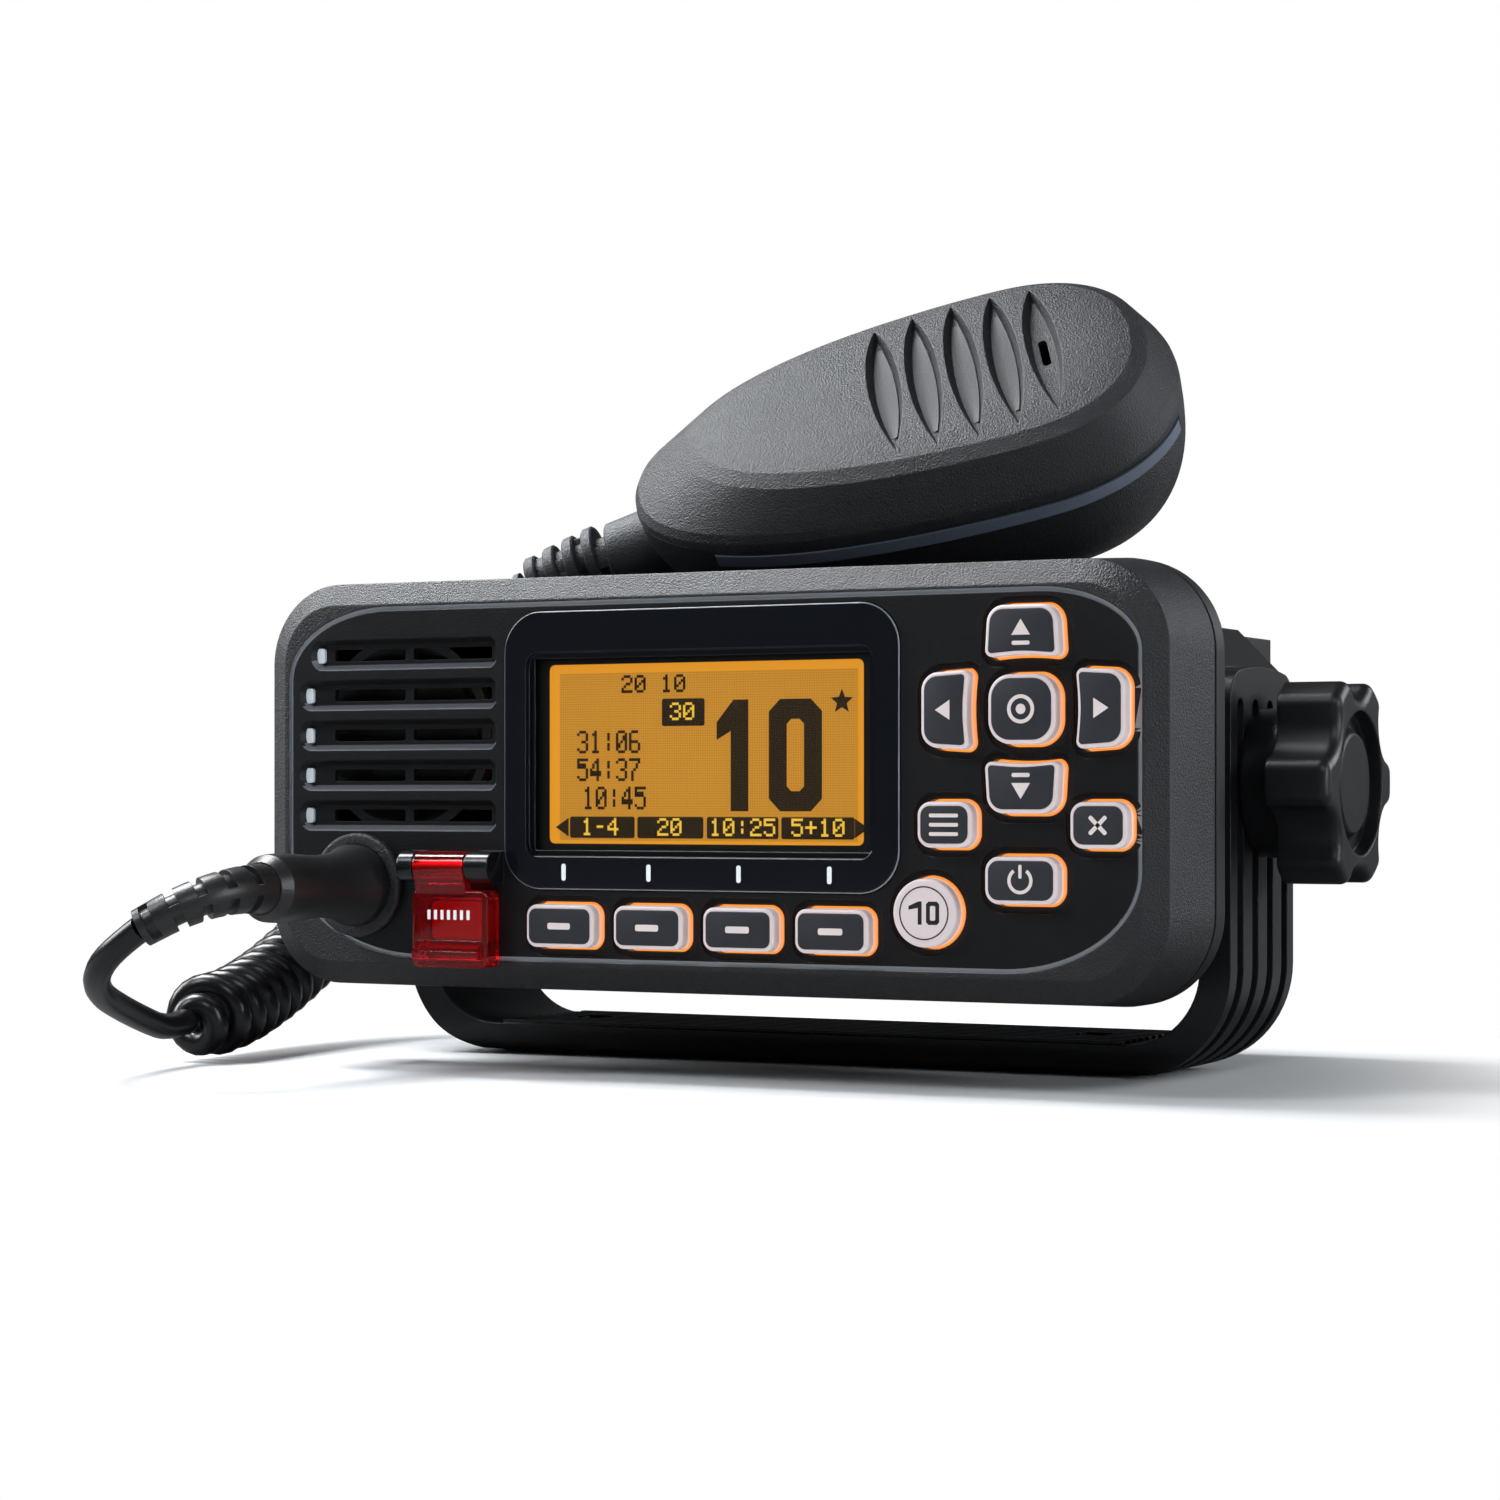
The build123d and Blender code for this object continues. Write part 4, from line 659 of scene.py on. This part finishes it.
sign("channel_number", placedDigits("10", 2.1, 3.4, 0.62, 0.7), roundKey["spot"], "channel_key", "darkInk",
     out=roundKey["rise"])

print("stage: display")
lcd = {"out": -2.55, "figureRise": 0.01, "lightRise": 0.035, "dot": 0.385, "bold": 0.44, "shift": -0.85,
       "ink": 0.03, "lit": (-25.2, 29.0, -9.4, 18.4), "litRadius": 0.9, "mask": (-28.4, 32.6, -12.6, 21.6),
       "maskRise": 0.02, "maskThick": 0.1, "field": (-23.4, 28.0, -8.9, 17.0), "fieldRadius": 0.1,
       "fieldSunk": 0.02, "fieldProud": 0.01}
figureOut = lcd["out"] + lcd["figureRise"]
lightOut = figureOut + lcd["lightRise"]


def dotSpots(out, text, left, top, tall=False):
    # places of the dots of small figures, like a matrix display; tall ones repeat two rows
    dot = lcd["dot"]
    spots = []
    for kind in text:
        pattern = digitRows[kind].split()
        if tall:
            pattern = [pattern[k] for k in tallRows]
        for row, cells in enumerate(pattern):
            spots += [(left + lcd["shift"] + (column + 0.5) * dot, top - (row + 0.5) * dot, out)
                      for column, cell in enumerate(cells) if cell == "1"]
        left += 6 * dot
    return spots


def boxOutline(limits, radius):
    left, right, bottom, top = limits
    return roundPolygon([(left, bottom), (right, bottom), (right, top), (left, top)], [radius] * 4, 4)


def screenPlate(mesh, outline, spot, turn=0):
    facePlate(mesh, [(outline, figureOut), (outline, figureOut + lcd["ink"])], spot, turn)


fieldOutline = boxOutline(lcd["field"], lcd["fieldRadius"])
mesh = bmesh.new()
facePlate(mesh, [(fieldOutline, lcd["out"] - lcd["fieldSunk"]),
                 (fieldOutline, lcd["out"] + lcd["fieldProud"])], (0, 0))
addPiece("screen_field", mesh, "amberField", "radio")
mesh = bmesh.new()
faceRing(mesh, boxOutline(lcd["mask"], lcd["litRadius"]), boxOutline(lcd["lit"], lcd["litRadius"]), (0, 0),
         lcd["out"] + lcd["maskRise"], lcd["maskThick"])
addPiece("screen_mask", mesh, "maskBlack", "radio")
figures = (("20 10", -11.5, 16.6), ("31:06", -19.4, 8.1, True), ("54:37", -19.4, 3.8, True),
           ("10:45", -18.4, -0.6, True))
printedMarks("screen_figures", [spot for figure in figures for spot in dotSpots(figureOut, *figure)],
             (lcd["bold"], lcd["bold"], 0.02, 0.03), "lcdInk", "radio")
bigFigures = {"height": 16.9, "weight": 3.0, "row": 4.15, "one": (7.8, 5.4), "nought": (18.45, 8.9)}
mesh = bmesh.new()
outline = strokeDigit("1", bigFigures["one"][1], bigFigures["height"], bigFigures["weight"])[0]
screenPlate(mesh, outline, (bigFigures["one"][0] + lcd["shift"], bigFigures["row"]))
outer, inner = strokeDigit("0", bigFigures["nought"][1], bigFigures["height"], bigFigures["weight"])[0]
faceRing(mesh, outer, inner, (bigFigures["nought"][0] + lcd["shift"], bigFigures["row"]), figureOut,
         lcd["ink"])
starShape = {"reach": (1.95, 0.85), "place": (26.2, 12.1)}
star = []
for k in range(10):
    reach = starShape["reach"][k % 2]
    star.append(Vector((reach * math.sin(math.radians(-36 * k)), reach * math.cos(math.radians(36 * k)))))
screenPlate(mesh, star, (starShape["place"][0] + lcd["shift"], starShape["place"][1]))
screenBoxes = {"stand": (-4.4, 3.0, 8.7, 12.9), "first": (-20.7, -9.2, -8.5, -5.2),
               "second": (-8.7, 2.8, -8.5, -5.2), "third": (3.4, 15.6, -8.5, -5.2),
               "fourth": (16.1, 28.3, -8.5, -5.2)}
boxCorner = 0.35
for limits in screenBoxes.values():
    screenPlate(mesh, boxOutline(limits, boxCorner), (lcd["shift"], 0))
screenArrows = {"places": ((-22.0, 90), (29.4, 270)), "row": -6.85}
for x, turn in screenArrows["places"]:
    screenPlate(mesh, triangle, (x + lcd["shift"], screenArrows["row"]), turn)
addPiece("screen_shapes", mesh, "lcdInk", "radio")
lightFigures = (("30", -3.0, 12.3), ("1-4", -18.6, -5.4), ("20", -5.2, -5.4), ("10:25", 3.9, -5.4),
                ("5+10", 17.8, -5.4))
printedMarks("screen_light_figures",
             [spot for figure in lightFigures for spot in dotSpots(lightOut, *figure)],
             (lcd["dot"], lcd["dot"], 0.02, 0.02), "lcdLight", "radio")

print("stage: grille ends")
# painted highlights: small pale bars at the left end of each grille slot, where the slot's end catches the
# light
grilleEndPaintedHighlights = {"left": -69.45, "firstLeft": -67.25, "top": 20.6, "pitch": 6.425, "rows": 5, "out": -1.52,
              "sizes": (1.5, 2.4, 0.45, 0.55)}
endSpots = [(grilleEndPaintedHighlights["left"] if row else grilleEndPaintedHighlights["firstLeft"],
             grilleEndPaintedHighlights["top"] - row * grilleEndPaintedHighlights["pitch"], grilleEndPaintedHighlights["out"])
            for row in range(grilleEndPaintedHighlights["rows"])]
printedMarks("grille_end_painted_highlights", endSpots, grilleEndPaintedHighlights["sizes"], "groovePaintedHighlight", "radio")

print("stage: marks on the display frame")
frameTicks = {"places": (-21.1, -6.1, 9.4, 24.6), "row": -13.8, "out": 0.31, "sizes": (0.75, 2.6, 0.3, 0.06)}
# white ticks, with a painted glow on their ink
printedMarks("frame_ticks", [(x, frameTicks["row"], frameTicks["out"]) for x in frameTicks["places"]],
             frameTicks["sizes"], "whiteInkWithPaintedGlow", "radio")

print("stage: alarm cover marks")
coverMarks = {"count": 7, "pitch": 1.2, "place": (-39.8, -20.6), "out": 3.98,
              "sizes": (0.55, 1.5, 0.12, 0.06)}
coverSpots = [(coverMarks["place"][0] + coverMarks["pitch"] * (k - (coverMarks["count"] - 1) / 2),
               coverMarks["place"][1], coverMarks["out"]) for k in range(coverMarks["count"])]
# white marks on the cover, with a painted glow on their ink
printedMarks("cover_marks", coverSpots, coverMarks["sizes"], "whiteInkWithPaintedGlow", "alarm_cover")

print("stage: microphone scoops")
scoopShape = {"origin": (-27.05, -19.2, 91.0), "along": (0.9108, 0.3363, 0.2395),
              "across": (-0.4075, 0.6389, 0.6525), "outward": (0.0664, -0.6919, 0.7190),
              "slots": ((44.7, 15.3), (51.2, 16.5), (57.8, 17.0), (64.4, 16.5)), "width": 3.6, "floor": 9.12,
              "gap": 0.10, "below": 0.55, "steps": 22, "rows": 7, "leastHalf": 0.25, "lipReach": 0.45,
              "flat": 0.34, "hollow": 1.1, "skin": 0.02, "above": 30}
micAlong, micAcross, micOut = (Vector(scoopShape[k]) for k in ("along", "across", "outward"))


def onMic(u, v, n):
    return (Vector(scoopShape["origin"]) + micAlong * u + micAcross * v + micOut * n) * mm


micTree = BVHTree.FromObject(nodes["mic_front"], bpy.context.evaluated_depsgraph_get())


def micHeight(u, v):
    hit = micTree.ray_cast(onMic(u, v, scoopShape["above"]), -micOut)[0]
    return ((hit / mm) - Vector(scoopShape["origin"])).dot(micOut)


mesh = bmesh.new()
for place, reach in scoopShape["slots"]:
    tops, foots = [], []
    for k in range(1, scoopShape["steps"]):
        v = reach * (2 * k / scoopShape["steps"] - 1)
        half = scoopShape["width"] / 2 * (1 - (v / reach) ** 2) - scoopShape["gap"]
        if half < scoopShape["leastHalf"]:
            continue
        lip = micHeight(place + half + scoopShape["lipReach"], v) - scoopShape["below"]
        low, flat, skin = scoopShape["floor"], scoopShape["flat"], scoopShape["skin"]
        row, foot = [], []
        for j in range(scoopShape["rows"]):
            share = j / (scoopShape["rows"] - 1)
            height = low + (lip - low) * max(0, (share - flat) / (1 - flat)) ** scoopShape["hollow"]
            u = place - half + 2 * half * share
            row.append(mesh.verts.new(onMic(u, v, height + skin)))
            foot.append(mesh.verts.new(onMic(u, v, low - skin)))
        tops.append(row)
        foots.append(foot)
    last = scoopShape["rows"] - 1
    for k in range(len(tops) - 1):
        for j in range(last):
            mesh.faces.new((tops[k][j], tops[k][j + 1], tops[k + 1][j + 1], tops[k + 1][j]))
            mesh.faces.new((foots[k][j + 1], foots[k][j], foots[k + 1][j], foots[k + 1][j + 1]))
        mesh.faces.new((tops[k][0], tops[k + 1][0], foots[k + 1][0], foots[k][0]))
        mesh.faces.new((tops[k][last], foots[k][last], foots[k + 1][last], tops[k + 1][last]))
    for row, foot in ((tops[0], foots[0]), (tops[-1], foots[-1])):
        for j in range(last):
            mesh.faces.new((row[j], row[j + 1], foot[j + 1], foot[j]))
addPiece("microphone_scoops", mesh, "micScoop", "microphone", 50)

print("stage: bend relief rings")
reliefShape = {"tail": (-25.83, -12.30, 85.01), "end": (-49.8, -18.9, 77.6), "core": (4.3, 2.9), "edge": 0.3,
               "joint": 0.02, "below": 0.8,
               "bands": ((-0.8, 8.3, 6.3, 5.7, 0.8), (10.4, 12.4, 5.6, 5.5, 1.3), (14.0, 16.0, 5.2, 5.1, 1.2),
                         (17.6, 19.7, 4.8, 4.6, 1.1), (21.3, 23.3, 4.2, 4.1, 1.0)),
               "bridge": 26, "sides": 48}


def reliefSections(shape):
    # (distance along, full radius, bridge direction or None where the section is round, lift)
    sections = []
    bands, edge, joint = shape["bands"], shape["edge"], shape["joint"]
    for index, (start, stop, first, last, lift) in enumerate(bands):
        sections += [(start, first - edge, None, lift), (start + edge, first, None, lift),
                     (stop - edge, last, None, lift), (stop, last - edge, None, lift)]
        if index < len(bands) - 1:
            way = 90 if index % 2 else 0
            rim = min(last, bands[index + 1][2]) - shape["below"]
            sections += [(stop + joint, rim, way, lift), (bands[index + 1][0] - joint, rim, way, lift)]
    return sections


def reliefMesh(shape):
    mesh = bmesh.new()
    tail, end = Vector(shape["tail"]), Vector(shape["end"])
    axis = (end - tail).normalized()
    side = axis.cross(Vector((0, 0, 1))).normalized()
    up = side.cross(axis)
    length = (end - tail).length
    halfBridge = shape["bridge"]
    rings = []
    for along, radius, way, lift in reliefSections(shape):
        core = shape["core"][0] + (shape["core"][1] - shape["core"][0]) * max(0, along) / length
        ring = []
        for k in range(shape["sides"]):
            degrees = 360 * k / shape["sides"]
            reach = radius
            if way is not None and abs((degrees - way + 90) % 180 - 90) > halfBridge:
                reach = core
            angle = math.radians(degrees)
            outward = side * math.cos(angle) + up * math.sin(angle)
            ring.append(mesh.verts.new((tail + axis * along + up * lift + outward * reach) * mm))
        rings.append(ring)
    bridge(mesh, rings)
    mesh.faces.new(rings[0])
    mesh.faces.new(rings[-1])
    return mesh


addPiece("relief_rings", reliefMesh(reliefShape), "reliefRubber", "microphone", 30)

print("stage: cord")
cordSettings = {
    "radius": 2.1, "coilRadius": 4.9, "turns": 23, "perTurn": 22, "sides": 14,
    "routeStep": 0.4, "leadStride": 5, "early": 6, "late": 4, "rampIn": 0.06, "rampOut": 0.05,
    "exit": (-69.1, -96.0, 23.7),
    "frontLead": [(-69.1, -96.0, 23.7), (-74.8, -96.1, 20.1), (-80.2, -93.0, 16.1), (-84.2, -86.7, 12.9),
                  (-86.4, -79.0, 10.4), (-88.1, -71.0, 8.0), (-89.3, -63.4, 5.9)],
    "curl": [(-90.0, -55.8, 7.1), (-91.4, -43.5, 7.6), (-95.6, -25.5, 11.2), (-99.2, -7.0, 17.4),
             (-100.8, 10.0, 26.0), (-98.2, 23.5, 37.5), (-92.2, 31.0, 50.0), (-87.0, 32.6, 58.3)],
    "rearLead": [(-81.2, 34.6, 67.7), (-75.3, 29.8, 75.6), (-71.9, 20.0, 78.2), (-74.5, 9.1, 76.5),
                 (-78.6, -1.6, 75.3), (-77.6, -13.0, 74.1), (-69.9, -21.0, 73.4), (-59.0, -22.8, 73.6),
                 (-49.8, -18.9, 77.6)],
}


def splineLine(points, resolution=16):
    # points along a smooth spline led by a route, in metres
    curve = bpy.data.curves.new("routeCurve", "CURVE")
    curve.dimensions = "3D"
    spline = curve.splines.new("NURBS")
    spline.points.add(len(points) - 1)
    for slot, point in zip(spline.points, points):
        slot.co = (*(Vector(point) * mm), 1)
    spline.order_u = 3
    spline.use_endpoint_u = True
    spline.resolution_u = resolution
    holder = bpy.data.objects.new("routeHolder", curve)
    bpy.context.scene.collection.objects.link(holder)
    bpy.context.view_layer.update()
    data = bpy.data.meshes.new_from_object(holder.evaluated_get(bpy.context.evaluated_depsgraph_get()))
    line = [vertex.co.copy() for vertex in data.vertices]
    bpy.data.objects.remove(holder)
    bpy.data.curves.remove(curve)
    bpy.data.meshes.remove(data)
    return line


def spaced(line, step):
    # the same line with even steps
    marks = [0.0]
    for a, b in zip(line, line[1:]):
        marks.append(marks[-1] + (b - a).length)
    count = max(2, round(marks[-1] / step))
    even, at = [], 0
    for k in range(count + 1):
        target = marks[-1] * k / count
        while at < len(marks) - 2 and marks[at + 1] < target:
            at += 1
        span = max(tiny * tiny, marks[at + 1] - marks[at])
        even.append(line[at].lerp(line[at + 1], min(1, max(0, (target - marks[at]) / span))))
    return even


def framesAlong(line, first):
    # sideways vectors carried along a line without twist
    side = first
    sides = []
    for index in range(len(line)):
        ahead = line[min(index + 1, len(line) - 1)] - line[max(index - 1, 0)]
        ahead.normalize()
        side = (side - ahead * side.dot(ahead)).normalized()
        sides.append((side.copy(), ahead.cross(side)))
    return sides


def nearestPoint(line, place):
    distances = [(point - Vector(place) * mm).length for point in line]
    return distances.index(min(distances))


def coiledLine(settings):
    route = settings["frontLead"] + settings["curl"] + settings["rearLead"]
    line = spaced(splineLine(route), settings["routeStep"] * mm)
    sides = framesAlong(line, Vector((0, 0, -1)))
    start = nearestPoint(line, settings["curl"][0]) - settings["early"]
    stop = nearestPoint(line, settings["curl"][-1]) + settings["late"]
    stride = settings["leadStride"]
    path = line[:start:stride]
    fine = settings["turns"] * settings["perTurn"]
    for k in range(fine + 1):
        share = k / fine
        where = start + share * (stop - start)
        base = min(int(where), len(line) - 2)
        middle = line[base].lerp(line[base + 1], where - base)
        grow = min(1.0, share / settings["rampIn"], (1 - share) / settings["rampOut"])
        grow = grow * grow * (3 - 2 * grow)
        angle = 2 * math.pi * settings["turns"] * share
        u, v = sides[base]
        outward = u * math.cos(angle) + v * math.sin(angle)
        path.append(middle + outward * settings["coilRadius"] * mm * grow)
    return path + line[stop + stride::stride] + [line[-1]]


def tubeMesh(path, radius, sides):
    mesh = bmesh.new()
    frames = framesAlong(path, Vector((0.3, 0.2, 1)).normalized())
    rings = []
    for place, (u, v) in zip(path, frames):
        rings.append([mesh.verts.new(place + (u * math.cos(2 * math.pi * k / sides)
                                              + v * math.sin(2 * math.pi * k / sides)) * radius * mm)
                      for k in range(sides)])
    bridge(mesh, rings)
    mesh.faces.new(rings[0][::-1])
    mesh.faces.new(rings[-1])
    return mesh


cordPath = coiledLine(cordSettings)
cordPiece = addPiece("microphone_cord", tubeMesh(cordPath, cordSettings["radius"], cordSettings["sides"]),
                     "cordRubber", None, 60)
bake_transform(cordPiece)
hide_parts("mic_lead_front", "mic_curl", "mic_lead_rear")

print("stage: light and camera")
studioWorld = {"sky": (0.80, 0.88, 1.0), "skyStrength": 0.05, "background": (1.0, 1.0, 1.0),
               "glossyShare": 0.03}
world = bpy.data.worlds.new("studio")
bpy.context.scene.world = world
world.use_nodes = True
worldTree = world.node_tree
worldTree.nodes.clear()
worldNodes = addNodes(worldTree, {
    "output": "OutputWorld", "mix": "MixShader", "rays": "LightPath", "sky": "Background",
    "white": "Background", "seen": "Math MAXIMUM", "glossy": "Math MULTIPLY_ADD"})
worldNodes["glossy"].use_clamp = True
setInputs(worldNodes["sky"], {"Color": (*studioWorld["sky"], 1), "Strength": studioWorld["skyStrength"]})
setInputs(worldNodes["white"], {"Color": (*studioWorld["background"], 1)})
setInputs(worldNodes["glossy"], {1: studioWorld["glossyShare"]})
joinNodes(worldTree, worldNodes, [
    ("rays", "Is Camera Ray", "seen", 0), ("rays", "Is Transmission Ray", "seen", 1),
    ("rays", "Is Glossy Ray", "glossy", 0), ("seen", 0, "glossy", 2), ("glossy", 0, "mix", 0),
    ("sky", 0, "mix", 1), ("white", 0, "mix", 2), ("mix", 0, "output", 0)])

lampSettings = {
    "overheadSoftbox": {"at": (-0.40, 0.02, 0.66), "to": (-0.02, 0, 0.08), "size": (0.30, 0.36),
                        "power": 8.5, "colour": (0.94, 0.97, 1.0)},
    "bandSoftbox": {"at": (-0.44, -0.60, 0.72), "to": (-0.02, -0.05, 0.07), "size": (0.26, 0.26),
                    "power": 2.4, "colour": (0.93, 0.97, 1.0)},
    "leftSoftbox": {"at": (-0.95, -0.10, 0.50), "to": (-0.02, -0.03, 0.05), "size": (0.45, 0.45),
                    "power": 6.0, "colour": (0.95, 0.97, 1.0)},
    "frontFill": {"at": (0.60, -0.85, 0.75), "to": (0, 0, 0.05), "size": (0.4, 0.3), "power": 1.9,
                  "colour": (0.93, 0.97, 1.0)},
    "rightStrip": {"at": (0.85, -0.16, 0.20), "to": (0.08, -0.02, 0.05), "size": (0.07, 0.5),
                   "power": 2.2, "colour": (0.93, 0.97, 1.0)},
    "backStrip": {"at": (0.60, 0.60, 0.35), "to": (0.02, 0, 0.08), "size": (0.3, 0.4), "power": 2.5,
                  "colour": (0.92, 0.96, 1.0)},
}
for name, lamp in lampSettings.items():
    light = bpy.data.lights.new(name, "AREA")
    light.shape = "RECTANGLE"
    light.size, light.size_y = lamp["size"]
    light.energy = lamp["power"]
    light.color = lamp["colour"]
    holder = bpy.data.objects.new(name, light)
    holder.location = lamp["at"]
    aim = Vector(lamp["to"]) - Vector(lamp["at"])
    holder.rotation_euler = aim.to_track_quat("-Z", "Y").to_euler()
    bpy.context.scene.collection.objects.link(holder)
    holder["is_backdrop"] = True

floorSettings = {"size": 3.0, "below": 0.0003, "base": (0.93, 0.94, 0.95), "centre": (0.0, -0.02),
                 "shadowReach": 0.075, "fadeReach": 0.155, "glossyCut": 0.8, "dark": (0.02, 0.02, 0.02)}
floorMesh = bmesh.new()
bmesh.ops.create_grid(floorMesh, x_segments=1, y_segments=1, size=floorSettings["size"])
floorData = bpy.data.meshes.new("floor")
floorMesh.to_mesh(floorData)
floorMesh.free()
floorLook = makeMaterial("floor", {"base": floorSettings["base"], "roughness": 0.7, "specular": 0.1,
                                   "grain": (40, 0.02)})
floorTree = floorLook.node_tree
floorNodes = addNodes(floorTree, {
    "place": "TexCoord", "move": "Mapping", "far": "VectorMath LENGTH", "fade": "MapRange",
    "white": "Emission", "rays": "LightPath", "seen": "Math MAXIMUM", "amount": "Math MULTIPLY",
    "mix": "MixShader", "dark": "BsdfDiffuse", "cut": "Math MULTIPLY", "quiet": "MixShader"})
floorNodes["shader"] = firstNode(floorTree, "BSDF_PRINCIPLED")
floorNodes["output"] = firstNode(floorTree, "OUTPUT_MATERIAL")
floorNodes["fade"].interpolation_type = "SMOOTHSTEP"
setInputs(floorNodes["move"], {"Location": (*(-place for place in floorSettings["centre"]), 0)})
setInputs(floorNodes["fade"], {"From Min": floorSettings["shadowReach"],
                               "From Max": floorSettings["fadeReach"]})
setInputs(floorNodes["dark"], {"Color": (*floorSettings["dark"], 1)})
setInputs(floorNodes["cut"], {1: floorSettings["glossyCut"]})
joinNodes(floorTree, floorNodes, [
    ("place", "Object", "move", "Vector"), ("move", 0, "far", 0), ("far", "Value", "fade", "Value"),
    ("rays", "Is Camera Ray", "seen", 0), ("rays", "Is Transmission Ray", "seen", 1),
    ("fade", 0, "amount", 0), ("seen", 0, "amount", 1), ("amount", 0, "mix", 0), ("shader", 0, "mix", 1),
    ("white", 0, "mix", 2), ("rays", "Is Glossy Ray", "cut", 0), ("cut", 0, "quiet", 0),
    ("mix", 0, "quiet", 1), ("dark", 0, "quiet", 2), ("quiet", 0, "output", 0)])
floorData.materials.append(floorLook)
floor = bpy.data.objects.new("floor", floorData)
floor.location = (0, 0, -floorSettings["below"])
bpy.context.scene.collection.objects.link(floor)
floor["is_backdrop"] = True

cameraSettings = {"place": (0.2395, -0.4963, 0.0433), "turn": 27.23, "lens": 79.6, "shift": 0.0315,
                  "sensor": 36}
camera = bpy.data.objects.new("camera", bpy.data.cameras.new("camera"))
camera.location = cameraSettings["place"]
camera.rotation_euler = (math.radians(90), 0, math.radians(cameraSettings["turn"]))
camera.data.lens = cameraSettings["lens"]
camera.data.sensor_width = cameraSettings["sensor"]
camera.data.shift_y = cameraSettings["shift"]
bpy.context.scene.collection.objects.link(camera)
bpy.context.scene.camera = camera
bpy.context.scene.view_settings.view_transform = "Standard"
camera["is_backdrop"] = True

sizeLog["finished"] = plainBounds()
